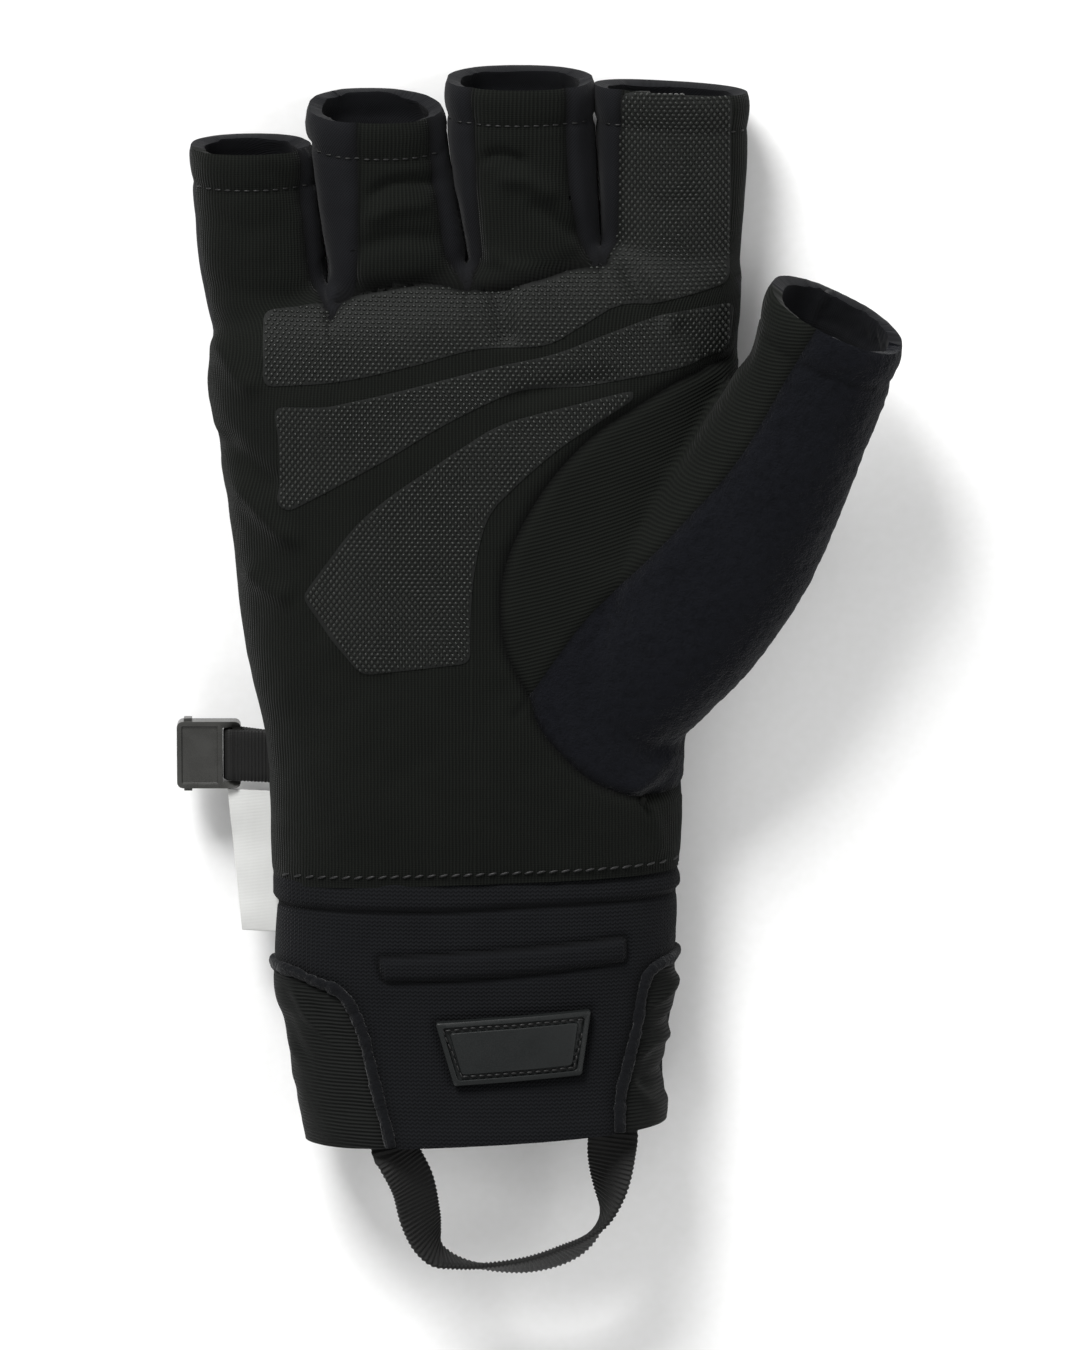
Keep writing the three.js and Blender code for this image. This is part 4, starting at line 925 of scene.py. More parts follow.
def soft_shell():
    """Polyester soft shell with a tight twill face: smooth and matt with a faint bluish cast."""
    return patterned("polyester_soft_shell", (0.85, 0.1, 0.04, 0.45), ("#09090b", "shell"), (0.1, 0.7), (
        motif("across", 0.42, tone=0.42, height=0.6),  # twill lines
        motif("along", 0.36, tone=0.18, height=0.4),
        motif("lumps", 7.0, tone=0.5, detail=3.0)), turn=math.radians(35))


def fleece_wipe():
    """Brushed polyester microfleece: a short dense pile that swallows light and glows at its edges."""
    return patterned("polyester_microfleece", (0.95, 0.05, 0.1, 0.35), ("#010101", "fleece"), (0.7, 1.0), (
        motif("lumps", 0.55, tone=0.7, height=0.7, detail=3.0, grain=0.7),  # the pile
        motif("lumps", 1.6, tone=0.9, height=0.5),  # its tufts
        motif("lumps", 11.0, tone=0.3)), on_cloth=False)


def grip_silicone():
    """Screen-printed silicone: soft satin dots on a thin film."""
    return patterned("printed_silicone", (0.5, 0.3), ("#151715", "grip"), (0.03, 0.5), (
        motif("lumps", 0.3, tone=0.5, height=1.0, roughness=0.3, grain=0.7),  # dust
        motif("lumps", 12.0, tone=0.5, roughness=0.3)), on_cloth=False, with_painted_shade=False)


def grip_film():
    """The thin clear-grey film of the same print between its dots, sunk into the knit below."""
    return patterned("printed_silicone_film", (0.7, 0.2), ("#080908", "#111311"), (0.08, 0.6), (
        motif("across", 0.68, tone=0.5, height=1.0),  # the wales below show through
        motif("lumps", 0.5, tone=0.5)))


def spacer_knit():
    """Polyester spacer knit of the cuff: a fine zigzag of loops over a charcoal ground."""
    return patterned("polyester_spacer_knit", (0.9, 0.07, 0.03, 0.4), ("#08080a", "cuff"), (0.22, 0.9), (
        motif("along", 0.78, tone=0.5, height=0.7, bend=(2.6, "across", 1.05)),  # loops lean by turns
        motif("across", 0.525, tone=0.2, height=0.3),
        motif("lumps", 0.4, tone=0.25),
        motif("lumps", 8.0, tone=0.25)))


def ribbed_elastic():
    """Woven nylon elastic: fine ribs across it and a satin shine where it is stretched."""
    return patterned("nylon_ribbed_elastic", (0.65, 0.09, 0.01, 0.4), ("#050505", "elastic"), (0.28, 0.9), (
        motif("along", 0.74, tone=0.65, height=0.9, bend=(2.5, "lumps", 7.0, 1.0)),  # ribs
        motif("across", 0.3, tone=0.1, height=0.1),
        motif("lumps", 6.0, tone=0.3)))


def terry_roll():
    """Looped polyester binding rolled along the gusset seams: woolly and matt."""
    return patterned("polyester_loop_binding", (0.95, 0.05, 0.12, 0.4), ("#060608", "cuff"), (0.6, 1.0), (
        motif("lumps", 0.7, tone=0.8, height=0.8, detail=3.0, grain=0.7),  # loops
        motif("lumps", 2.2, tone=0.4, height=0.4)), on_cloth=False, with_painted_shade=False)


def badge_rubber():
    """Moulded PVC rubber: even, dull grey with a fine eggshell texture from its mould."""
    return patterned("moulded_pvc_rubber", (0.6, 0.2), ("#151717", "badge"), (0.02, 0.6), (
        motif("lumps", 0.25, tone=0.2, height=1.0, roughness=0.7),
        motif("lumps", 6.0, tone=0.6, roughness=0.2)), on_cloth=False, with_painted_shade=False)


def webbing_weave():
    """Woven polyester grosgrain: dull threads over thick cross ribs."""
    return patterned("polyester_grosgrain", (0.65, 0.22, 0.05, 0.4), ("#0a0a0a", "webbing"), (0.06, 0.7), (
        motif("across", 0.34, tone=0.4, height=0.8),  # warp threads
        motif("lumps", 0.6, tone=0.6, height=0.2)), with_painted_shade=False)


def buckle_acetal():
    """Moulded acetal: hard, dark grey, with a spark-eroded satin surface."""
    return patterned("moulded_acetal", (0.42, 0.5), ("#2a2a28", "buckle"), (0.025, 0.7), (
        motif("lumps", 0.18, height=1.0, roughness=0.35),
        motif("lumps", 4.0, tone=1.0, roughness=0.25)), on_cloth=False, with_painted_shade=False, ior=1.48)


def label_satin():
    """Woven polyester label: fine white threads with a slight satin lustre."""
    return patterned("woven_polyester_label", (0.6, 0.25, 0.1, 0.4), ("#b6b6b4", "label"), (0.04, 0.7), (
        motif("along", 0.3, tone=0.3, height=0.6),  # weft
        motif("across", 0.24, tone=0.2, height=0.4),  # warp
        motif("lumps", 5.0, tone=0.5)), with_painted_shade=False)


def sewing_thread():
    """Bonded nylon thread: black with a small sheen."""
    return patterned("bonded_nylon_thread", (0.5, 0.35), ("#040404", "thread"), (0.05, 1.0), (
        motif("lumps", 0.3, tone=1.0, height=1.0),), on_cloth=False, with_painted_shade=False)


def studio_paper():
    """Matt white background paper."""
    return patterned("background_paper", (0.9, 0.1), ("#f4f4f3", "#fafafa"), (0.02, 0.2), (
        motif("lumps", 2.0, tone=1.0, height=1.0),), on_cloth=False, with_painted_shade=False)


MAKERS = {maker.__name__: maker for maker in (
    ribbed_knit, thumb_knit, soft_shell, fleece_wipe, grip_silicone, grip_film, spacer_knit, ribbed_elastic,
    terry_roll, badge_rubber, webbing_weave, buckle_acetal, label_satin, sewing_thread, studio_paper)}
MATERIALS = {}


def material_for(name):
    """The material of a name, made once."""
    if name not in MATERIALS:
        MATERIALS[name] = MAKERS[name]()
    return MATERIALS[name]


# The panels of the hand

def hand_edge(y):
    """The right edge of the hand at a height along it."""
    shares = HAND_SECTIONS[:, 0]
    return np.interp(y, WRIST_Y + shares * PALM_LENGTH, HAND_SECTIONS[:, 2] * PALM_WIDTH)


def under_thumb(points):
    """Which points lie under the thumb: right of the hand's edge and below the thumb's middle plane."""
    first, last = THUMB_SECTIONS[0, 1], THUMB_SECTIONS[-1, 1]
    climb = math.atan2((last - first) * PALM_THICKNESS, THUMB_LENGTH)
    down = THUMB_ALONG * math.sin(climb)
    down[2] = -math.cos(climb)
    start = thumb_point(0, 0, first * PALM_THICKNESS)
    below_fingers = (points[:, 0] > THUMB_CLEAR_X) | (points[:, 1] < 80)
    beside = (points[:, 0] > hand_edge(points[:, 1])) & below_fingers
    high = points[:, 1] > WRIST_Y + 0.2 * PALM_LENGTH - THUMB_WIDTH
    return beside & high & ((points - start) @ down > 0), start, down


def thumb_outline():
    """The thumb side of the seam round the ball of the thumb."""
    seam = palm_line(THUMB_SEAM)
    return seam, np.vstack((seam, [(FAR, seam[-1, 1]), (FAR, FAR), (seam[0, 0], FAR)]))


def fleece_outline():
    """The fleece side of its edge on the thumb."""
    edge = smooth_line([thumb_point(a, b * THUMB_WIDTH, 0)[:2] for a, b in FLEECE_EDGE], 2.0)
    return edge, np.vstack((edge, [(FAR, FAR), (FAR, -FAR), (edge[0, 0], -FAR)]))


def rim_plane(finger):
    """A point on a finger's rim and the normal of its plane."""
    x, _, waist, _, y = finger_section(finger, 1.0)
    slant, tilt = finger[3:]
    return (x, y, waist), Vector((-tilt, 1, -slant)).normalized()


def build_hand(voxel):
    """The skin of the hand, cut along all its seams, with a region for each face and its cloth map."""
    bm = skin_over([palm_rings()] + [finger_rings(f) for f in FINGERS] + [thumb_rings()], voxel)

    # Fingers get their width back
    points = places_of(bm)
    for finger in FINGERS:
        middle, half, _, _ = finger_at(finger, points[:, 1])
        slim = slimming(middle, points[:, 1], finger, points[:, 0] - middle)
        above = points[:, 1] > crotch_line(middle) - 4
        own = (abs(points[:, 0] - middle) < half + 0.2) & (slim > 0) & above
        wider = middle + (points[:, 0] - middle) * (half / (half - slim))
        points[own, 0] = wider[own]
    for vert, place in zip(bm.verts, points):
        vert.co = place

    # Open rims
    for finger in FINGERS:
        point, normal = rim_plane(finger)
        middle, half = finger_section(finger, 1.0)[:2]
        first, last = finger is FINGERS[0], finger is FINGERS[-1]

        def at_rim(bm, middle=middle, half=half, y=point[1], first=first, last=last):
            centres = centres_of(bm)
            across = centres[:, 0] - middle
            facing = np.array([f.normal.x for f in bm.faces]) * np.sign(across)
            beside = ((across < -0.75 * half) & (not first)) | ((across > 0.75 * half) & (not last))
            near = (across > -half - (3 if first else 0.25)) & (across < half + (3 if last else 0.25))
            return near & (centres[:, 1] > y - 9) & ~(beside & (facing < -0.1))

        bm.normal_update()
        cut_level(bm, point, normal, at_rim, 0.35)
        bm.normal_update()
        beyond = (centres_of(bm) - np.array(point)) @ np.array(normal) > 0
        drop_faces(bm, at_rim(bm) & beyond)
    middle, ahead, rim_normal = thumb_rim()

    def at_thumb_rim(bm):
        centres = centres_of(bm)
        return ((centres - middle) @ ahead > -14) & (centres[:, 0] > THUMB_CLEAR_X) & (centres[:, 1] > 50)

    cut_level(bm, middle, rim_normal, at_thumb_rim, 0.35)
    drop_faces(bm, at_thumb_rim(bm) & ((centres_of(bm) - middle) @ rim_normal > 0))

    rim_verts = [v for v in bm.verts if v.is_boundary]
    bmesh.ops.remove_doubles(bm, verts=rim_verts, dist=0.4)

    # Seams
    wrist = palm_line(WRIST_SEAM, 8.0)
    lower = wrist - (0, 1.0)  # the palm's edge laps over the cuff
    cut_along(bm, lower)
    centres = centres_of(bm)
    drop_faces(bm, centres[:, 1] < np.interp(centres[:, 0], lower[:, 0], lower[:, 1]))
    cut_level(bm, (0, 0, SEAM_HEIGHT), (0, 0, 1))
    _, start, down = under_thumb(centres_of(bm))
    cut_level(bm, start, down, lambda bm: [c[0] > hand_edge(c[1]) - 2 for c in centres_of(bm)])
    edge_line = [(hand_edge(y), y) for y in np.arange(-42, 90, 3.0)]
    cut_along(bm, edge_line, high=SEAM_HEIGHT + 12)
    seam, thumb_side = thumb_outline()
    cut_along(bm, seam, low=8)
    fleece, fleece_side = fleece_outline()
    cut_along(bm, fleece, low=8)
    strips = []
    for name, right, left, tip in FOURCHETTES:
        outline = np.vstack((palm_line(right), palm_line(left), [on_palm(tip)]))
        cut_along(bm, closed(outline), low=3)
        strips.append((name, outline))
    cut_level(bm, (0, 0, STRIP_LOW), (0, 0, 1), lambda bm: [c[1] > 70 and c[0] < 20 for c in centres_of(bm)])
    base = palm_line(FINGER_BASE_SEAM)
    cut_along(bm, base, low=8)
    fronts = np.vstack((base, [(base[-1, 0], FAR), (base[0, 0], FAR)]))
    grips = {name: outline_of(sides, on_palm, 2.0) for name, sides in GRIPS.items()}
    for outline in grips.values():
        cut_along(bm, closed(outline), low=SEAM_HEIGHT + 3)
    bmesh.ops.dissolve_degenerate(bm, edges=bm.edges, dist=0.02)

    # Which piece each face belongs to
    centres = centres_of(bm)
    region = np.full(len(centres), "palm_panel", dtype="U32")
    in_front = inside(centres, fronts)
    left_half = centres[:, 0] < on_palm(FOURCHETTES[1][3])[0]
    region[in_front & left_half] = "ring_finger_front"
    region[in_front & ~left_half] = "middle_finger_front"
    on_thumb = inside(centres, thumb_side)
    region[on_thumb] = "thumb_panel"
    region[on_thumb & inside(centres, fleece_side)] = "thumb_wipe"
    region[centres[:, 2] < SEAM_HEIGHT] = "back_panel"
    for name, outline in strips:
        region[inside(centres, outline) & (centres[:, 2] > STRIP_LOW)] = name
    region[under_thumb(centres)[0]] = "thumb_back"
    printed = (centres[:, 2] > SEAM_HEIGHT + 3) & ~on_thumb & (region == "palm_panel")
    films = {name: inside(centres, outline) & printed for name, outline in grips.items()}
    lines = {"seam": seam, "fleece": fleece, "base": base, "fronts": fronts, "strips": strips, "wrist": wrist,
             "grips": grips}
    return bm, region, films, lines


def map_cloth(bm, region):
    """Writes each face's cloth map: metres across and along its own cloth."""
    points = places_of(bm)
    x, y, z = points.T
    shares = np.clip((y - WRIST_Y) / PALM_LENGTH, 0, 0.986)
    grid = np.linspace(0, 0.986, 80)
    rows = np.array([hand_at(s) for s in grid])
    left, right, top = (np.interp(shares, grid, rows[:, k]) for k in range(3))
    middle, half = (right - left) / 2, (right + left) / 2
    u = np.clip((x - middle) / half, -1.2, 1.2)
    v = (z - SEAM_HEIGHT) / np.where(z > SEAM_HEIGHT, top - SEAM_HEIGHT, SEAM_HEIGHT + 1)
    palm_u = middle + arc_length(u, v, 45.0, 17.0, 2.5, True) * half / 45.0
    back_u = middle + arc_length(u, v, 45.0, 13.0, 2.5, False) * half / 45.0
    finger_u = palm_u.copy()
    for finger in FINGERS:
        mid, wide, waist, deep = finger_at(finger, y)
        own = abs(x - mid) < wide + 1
        around = mid + arc_length((x - mid) / wide, (z - waist) / deep, 12.0, 10.0, 2.3, True)
        finger_u[own] = around[own]
    blend = ease(y - crotch_line(x), -8, 6)
    palm_u = palm_u * (1 - blend) + finger_u * blend
    turn = math.radians(12)
    thumb_u = math.cos(turn) * x + math.sin(turn) * y
    thumb_v = -math.sin(turn) * x + math.cos(turn) * y + 0.5 * z
    across = {"back_panel": back_u, "thumb_panel": thumb_u, "thumb_wipe": thumb_u, "thumb_back": thumb_u}
    along = {"thumb_panel": thumb_v, "thumb_wipe": thumb_v, "thumb_back": thumb_v}
    layer = bm.loops.layers.uv.new("Cloth")
    bm.verts.index_update()
    for face, name in zip(bm.faces, region):
        us, vs = across.get(name, palm_u), along.get(name, y)
        for loop in face.loops:
            k = loop.vert.index
            loop[layer].uv = (us[k] * MM, vs[k] * MM)


def shape_cloth(bm, lines):
    """Presses in the seams, draws in the hems, lays the folds and keeps painted shade for the seams, folds
    and hem rows.
    """
    points = places_of(bm)
    up = ease(points[:, 2], 9, 13)
    move = folded(points, FOLDS) * up
    move += 0.35 * unevenness(points, 14.0, 1) + 0.16 * unevenness(points, 5.0, 2)
    # The fleece's pile is lumpy
    edge, side = fleece_outline()
    pile = inside(points, side) & inside(points, thumb_outline()[1])
    move += np.where(pile, 0.22 * unevenness(points, 1.7, 9) * ease(to_line(points, edge)[0], 0, 1.5), 0)
    # Painted shade: how far the colour is darkened where seams and folds catch no light
    painted_shade = np.zeros(len(points))
    # Seams sink, with painted shade along them
    for line, depth, width in (
            (lines["seam"], 1.0, 1.2), (lines["fleece"], 0.35, 0.9), (lines["wrist"], 0.3, 1.4)):
        distance, _ = to_line(points, line)
        move -= depth * up * hump(distance, width)
        painted_shade = np.maximum(painted_shade, (0.9 if depth > 0.9 else 0.5) * up * hump(distance, 0.75))
    # The palm's edge laps over the finger fronts, with painted shade on the fronts below it
    base = lines["base"]
    distance, _ = to_line(points, base)
    fronts = inside(points, lines["fronts"])
    move += up * np.where(fronts, -0.95 * hump(distance, 2.2), 0.45 * hump(distance, 2.4))
    move -= 0.6 * up * hump(distance, 0.7)
    painted_shade = np.maximum(painted_shade, up * np.exp(-(np.where(fronts, distance / 2.2, distance / 0.7)) ** 2))
    for _, outline in lines["strips"]:
        distance, _ = to_line(points, closed(outline))
        low = points[:, 1] - np.interp(points[:, 0], (-45, 15), (82, 93))
        sides = ease(points[:, 2], 4, 10)
        move -= (0.7 - 0.2 * ease(low, 0, 14)) * sides * hump(distance, 1.0)
        # Painted shade along the seams of the strip
        painted_shade = np.maximum(painted_shade, 0.85 * sides * hump(distance, 0.7))
        # The strip between two seams swells into a roll
        strip = inside(points, outline) & (points[:, 1] > 78)
        move += np.where(strip, 0.35 * sides * ease(distance, 0.6, 2.2), 0)
    side = abs(points[:, 2] - SEAM_HEIGHT)
    on_hand = (points[:, 0] < hand_edge(points[:, 1]) + 1) | (points[:, 1] < WRIST_Y + 2)
    between = (points[:, 1] > 84) & (points[:, 0] > -66) & (points[:, 0] < 36)
    move -= np.where(on_hand & ~between, 0.4 * np.exp(-(side / 1.1) ** 2), 0)
    # Hems: a drawn-in row of stitches with painted shade in it, a fuller fold beyond it and a rolled rim
    soft = 0.75 + 0.35 * unevenness(points, 6.0, 3)
    roll = np.zeros(len(points))

    def hem(back, row, own):
        shape = (0.4 * np.exp(-((back - 3.2) / 2.4) ** 2) - 0.4 * np.exp(-((back - row) / 1.0) ** 2)
                 - 0.45 * np.exp(-(back / 0.8) ** 2))
        return np.where(own, soft * shape, 0), np.where(own, 1 - ease(back, 1.5, row - 0.5), 0)

    rims = []
    for finger in FINGERS:
        point, normal = rim_plane(finger)
        middle, half = finger_section(finger, 1.0)[:2]
        back = (np.array(point) - points) @ np.array(normal)
        rims.append((back, HEM_ROW, (abs(points[:, 0] - middle) < half + 0.6) & (back < 12)))
    middle, _, rim_normal = thumb_rim()
    back = (middle - points) @ rim_normal
    rims.append((back, THUMB_HEM_ROW, (points[:, 0] > 43) & (points[:, 1] > 45) & (back < 14)))
    for back, row, own in rims:
        shape, full = hem(back, row, own)
        move += shape
        roll = np.maximum(roll, full)
        painted_shade = np.maximum(painted_shade, np.where(own, 0.55 * np.exp(-((back - row) / 0.5) ** 2), 0))
    # The painted shade goes to the materials as a vertex value
    mark(bm, "Crease", painted_shade)
    mark_roll(bm, roll)
    move_out(bm, move)
    # The cloth runs softly through the crotches
    for *_, tip in FOURCHETTES:
        x, y = on_palm(tip)
        near = [v for v in bm.verts if abs(v.co.x - x) < 4 and -2 < v.co.y - y < 10 and v.co.z > 9]
        soften(bm, near, 4)
    settle(bm)


# Operators

class GLOVE_OT_hand(bpy.types.Operator):
    """Build the cloth panels of the hand, fingers and thumb"""

    bl_idname = "glove.hand"
    bl_label = "Hand Panels"

    def execute(self, context):
        sizes = context.scene.glove_sizes
        voxel = sizes.cloth_fineness / MM
        bm, region, films, lines = build_hand(voxel)
        map_cloth(bm, region)
        shape_cloth(bm, lines)
        FORMS["hand"] = surface_of(bm)
        FORMS["lines"] = lines
        FORMS["films"] = {name: part_of(bm, marks) for name, marks in films.items()}
        looks = {
            "palm_panel": ("ribbed_knit", "ribbed_knit"),
            "ring_finger_front": ("ribbed_knit", "ribbed_knit"),
            "middle_finger_front": ("ribbed_knit", "ribbed_knit"),
            "thumb_panel": ("thumb_knit", "ribbed_knit"),
            "thumb_wipe": ("fleece_wipe", "fleece"),
        }
        for name in sorted(set(region)):
            piece = part_of(bm, region == name)
            if not piece.faces:
                raise RuntimeError(f"{name} has no cloth")
            outside, slot = looks.get(name, ("soft_shell", "soft_shell"))
            finish_piece(piece, name + "_cloth", (outside, "soft_shell"), (name,), slot,
                         sizes.cloth_wall / MM / WALL_SHARE, 0.5, rolled=True)
        bm.free()
        return {"FINISHED"}


def dot_places(outline, pitch, row):
    """Staggered rows of points inside an outline."""
    low, high = outline.min(axis=0), outline.max(axis=0)
    places = []
    for j, y in enumerate(np.arange(low[1], high[1], row)):
        shift = pitch / 2 if j % 2 else 0
        places.extend((x, y) for x in np.arange(low[0] + shift, high[0], pitch))
    places = np.array(places)
    distance, _ = to_line(places, closed(outline))
    return places[inside(places, outline) & (distance > 0.3)]


def printed_dots(matrices):
    """A mesh of low blunt dots, one at each matrix: one is doubled until there are enough."""
    bm = bmesh.new()
    cone = bmesh.ops.create_cone(bm, cap_ends=True, segments=8, radius1=0.52, radius2=0.24, depth=0.38)
    verts = cone["verts"]
    shape = [v.co.copy() for v in verts]
    wanted = len(shape) * len(matrices)
    while len(verts) < wanted:
        geometry = bm.verts[:] + bm.edges[:] + bm.faces[:]
        copies = bmesh.ops.duplicate(bm, geom=geometry)["vert_map"]
        verts = verts + [copies[v] for v in verts]
    for i, vert in enumerate(verts[:wanted]):
        vert.co = matrices[i // len(shape)] @ shape[i % len(shape)]
    bmesh.ops.delete(bm, geom=verts[wanted:], context="VERTS")
    return bm


class GLOVE_OT_grip_prints(bpy.types.Operator):
    """Print the raised silicone dots on the palm and index finger"""

    bl_idname = "glove.grip_prints"
    bl_label = "Grip Prints"

    def execute(self, context):
        sizes = context.scene.glove_sizes
        for name, outline in FORMS["lines"]["grips"].items():
            film = FORMS["films"][name]
            move_out(film, np.full(len(film.verts), FILM_HEIGHT))
            surface = surface_of(film)
            finish_piece(film, name + "_film", ("grip_film",), (), "grip_print", 0.3, 0.08)
            matrices = []
            for x, y in dot_places(outline, sizes.dot_pitch / MM, sizes.dot_row / MM):
                spot = laid_on(surface, x, y)
                if spot is None:
                    continue
                place, normal = spot
                turn = normal.to_track_quat("Z", "Y").to_matrix().to_4x4()
                place = Matrix.Translation(place + normal * DOT_RISE)
                matrices.append(place @ turn @ Matrix.Diagonal(DOT_SHAPE))
            finish_piece(printed_dots(matrices), name + "_dots", ("grip_silicone",), (name,), "grip_print")
        return {"FINISHED"}


def cuff_ring(y_share, count):
    """Points evenly spaced round the cuff at a share of its length, from the middle of its back."""
    left, right, top, skew = read_rows(CUFF_SECTIONS, min(max(y_share, 0), 1))
    ring = hand_ring(WRIST_Y - y_share * CUFF_LENGTH, left * CUFF_WIDTH, right * CUFF_WIDTH,
                     top * CUFF_THICKNESS, skew, CUFF_SAMPLES)
    start = CUFF_SAMPLES * 3 // 4
    ring = np.vstack((ring[start:-1], ring[:start + 1]))
    length = np.concatenate(([0], np.cumsum(np.linalg.norm(np.diff(ring, axis=0), axis=1))))
    at = np.linspace(0, length[-1], count + 1)
    points = np.column_stack([np.interp(at, length, ring[:, k]) for k in range(3)])
    return points, at - length[-1] / 2


def badge_outline(inset):
    """The four corners of the badge in its own frame."""
    wide, tall = BADGE_WIDTH / 2 - inset, BADGE_HEIGHT / 2 - inset
    short = wide - BADGE_TAPER
    return ((-short, -tall), (short, -tall), (wide, tall), (-wide, tall))


def badge_on_cuff(inset):
    """The corners of the badge where it lies on the cuff."""
    turn = Matrix.Rotation(math.radians(BADGE_TURN), 2)
    return [tuple(Vector(on_cuff(BADGE_PLACE)) + turn @ Vector(p)) for p in badge_outline(inset)]


def build_cuff(step):
    """The tube of the cuff, cut along its seams, with a region for each face."""
    count = round(196 / step)
    shares = np.linspace(-0.035, 1.1, round(60 / step))
    bm = bmesh.new()
    rings, arcs = zip(*(cuff_ring(s, count) for s in shares))
    rings, arcs = np.array(rings)[:, ::-1], np.array(arcs)[:, ::-1]
    wrap_grid(bm, rings, np.dstack((-arcs, rings[:, :, 1])))
    bmesh.ops.recalc_face_normals(bm, faces=bm.faces)
    centres = centres_of(bm)
    normals = np.array([f.normal for f in bm.faces])
    away = centres - (centres.mean(axis=0) * (1, 0, 1) + centres * (0, 1, 0))
    if (normals * away).sum() < 0:
        bmesh.ops.reverse_faces(bm, faces=bm.faces)
    left = smooth_line([on_cuff(p) for p in PIPING_LEFT], 1.5)
    right = smooth_line([on_cuff(p) for p in PIPING_RIGHT], 1.5)
    for line in (left, right):
        cut_along(bm, line, low=9)
    cut_level(bm, (0, 0, SEAM_HEIGHT), (0, 0, 1))
    hem = Vector((-HEM_SLOPE, 1, 0)).normalized()
    cut_level(bm, (0, HEM_Y, 0), hem)
    centres = centres_of(bm)
    drop_faces(bm, centres[:, 1] < HEM_Y + HEM_SLOPE * centres[:, 0])
    centres = centres_of(bm)
    region = np.full(len(centres), "cuff_front", dtype="U32")
    for name, line, far in (("cuff_gusset_left", left, -FAR), ("cuff_gusset_right", right, FAR)):
        outline = np.vstack((line, [(line[-1, 0], -FAR), (far, -FAR), (far, line[0, 1])]))
        region[inside(centres, outline)] = name
    region[centres[:, 2] < SEAM_HEIGHT] = "cuff_back"
    return bm, region, left, right


def shape_cuff(bm, left, right):
    """Raises the band and bar, sinks the seams, gathers the gussets and keeps painted shade round them and
    the badge.
    """
    points = places_of(bm)
    up = ease(points[:, 2], 10, 14)
    move = 0.25 * unevenness(points, 12.0, 4) + 0.1 * unevenness(points, 4.0, 5)
    beside = (inside(points, np.vstack((left, [(-FAR, -FAR), (-FAR, left[0, 1])])))
              | inside(points, np.vstack((right, [(FAR, -FAR), (FAR, right[0, 1])]))))
    # Painted shade along the top of the cuff, under the palm's lapped edge
    painted_shade = 0.9 * up * (1 - ease(WRIST_Y + 0.4 - points[:, 1], 0, 1.7))
    for sides, rise in ((EMBOSSED_BAR, 1.15), (EMBOSSED_BAND, 0.9)):
        outline = outline_of(sides, on_cuff, 1.0)
        distance, _ = to_line(points, closed(outline))
        signed = np.where(inside(points, outline), distance, -distance)
        move += up * (rise * ease(signed, -0.4, 1.3) - 0.4 * np.exp(-((signed + 0.5) / 0.6) ** 2))
        # Painted shade round the raised outlines
        painted_shade = np.maximum(painted_shade, 0.8 * up * np.exp(-((signed + 0.3) / 0.5) ** 2))
    for line in (left, right):
        distance, _ = to_line(points, line)
        move -= 0.5 * up * hump(distance, 1.6)
        # Painted shade along the gusset seams
        painted_shade = np.maximum(painted_shade, 0.7 * up * hump(distance, 2.0))
    # The badge presses into the knit round it, with painted shade at its edge
    corners = badge_on_cuff(0)
    distance, _ = to_line(points, corners + corners[:1])
    painted_shade = np.maximum(painted_shade, 0.6 * up * hump(distance, 0.9))
    move -= 0.35 * up * hump(distance, 1.2)
    gathered = beside * up
    move += gathered * folded(points, CREASES)
    move += gathered * (0.45 * unevenness(points * (0.4, 1.3, 0.7), 5.0, 7))
    side = abs(points[:, 2] - SEAM_HEIGHT)
    move -= 0.35 * np.exp(-(side / 1.0) ** 2)
    rim = points[:, 1] - (HEM_Y + HEM_SLOPE * points[:, 0])
    move += 0.3 * np.exp(-((rim - 2.0) / 2.0) ** 2)
    move -= 0.6 * ease(points[:, 1] - WRIST_Y, -2.2, 0.5)
    # The painted shade goes to the materials as a vertex value
    mark(bm, "Crease", painted_shade)
    move_out(bm, move)
    settle(bm)


class GLOVE_OT_cuff(bpy.types.Operator):
    """Build the cuff with its knit front and back and its gathered gussets"""

    bl_idname = "glove.cuff"
    bl_label = "Cuff"

    def execute(self, context):
        sizes = context.scene.glove_sizes
        step = sizes.cuff_fineness / MM
        bm, region, left, right = build_cuff(step)
        shape_cuff(bm, left, right)
        FORMS["cuff"] = surface_of(bm)
        FORMS["piping"] = (left, right)
        for name in sorted(set(region)):
            gusset = "gusset" in name
            outside, slot = ("ribbed_elastic", "elastic") if gusset else ("spacer_knit", "cuff_knit")
            finish_piece(part_of(bm, region == name), name + "_cloth", (outside, "soft_shell"), (name,), slot,
                         sizes.cloth_wall / MM, 0.45)
        bm.free()
        return {"FINISHED"}


def path_frames(points, normals):
    """A frame at each point of a path: its place and the directions to its side and up."""
    frames = []
    for i, (point, normal) in enumerate(zip(points, normals)):
        ahead = Vector(points[min(i + 1, len(points) - 1)]) - Vector(points[max(i - 1, 0)])
        ahead.normalize()
        side = ahead.cross(Vector(normal)).normalized()
        frames.append((Vector(point), side, side.cross(ahead).normalized()))
    return frames


def draped_path(tree, line, height):
    """Places and normals on the cloth under a line drawn from above, as far as its sides."""
    points, normals = [], []
    for x, y in line:
        spot = laid_on(tree, x, y)
        if spot is None or spot[0].z < SEAM_HEIGHT:
            continue
        points.append(spot[0] + spot[1] * height)
        normals.append(spot[1])
    return points, normals


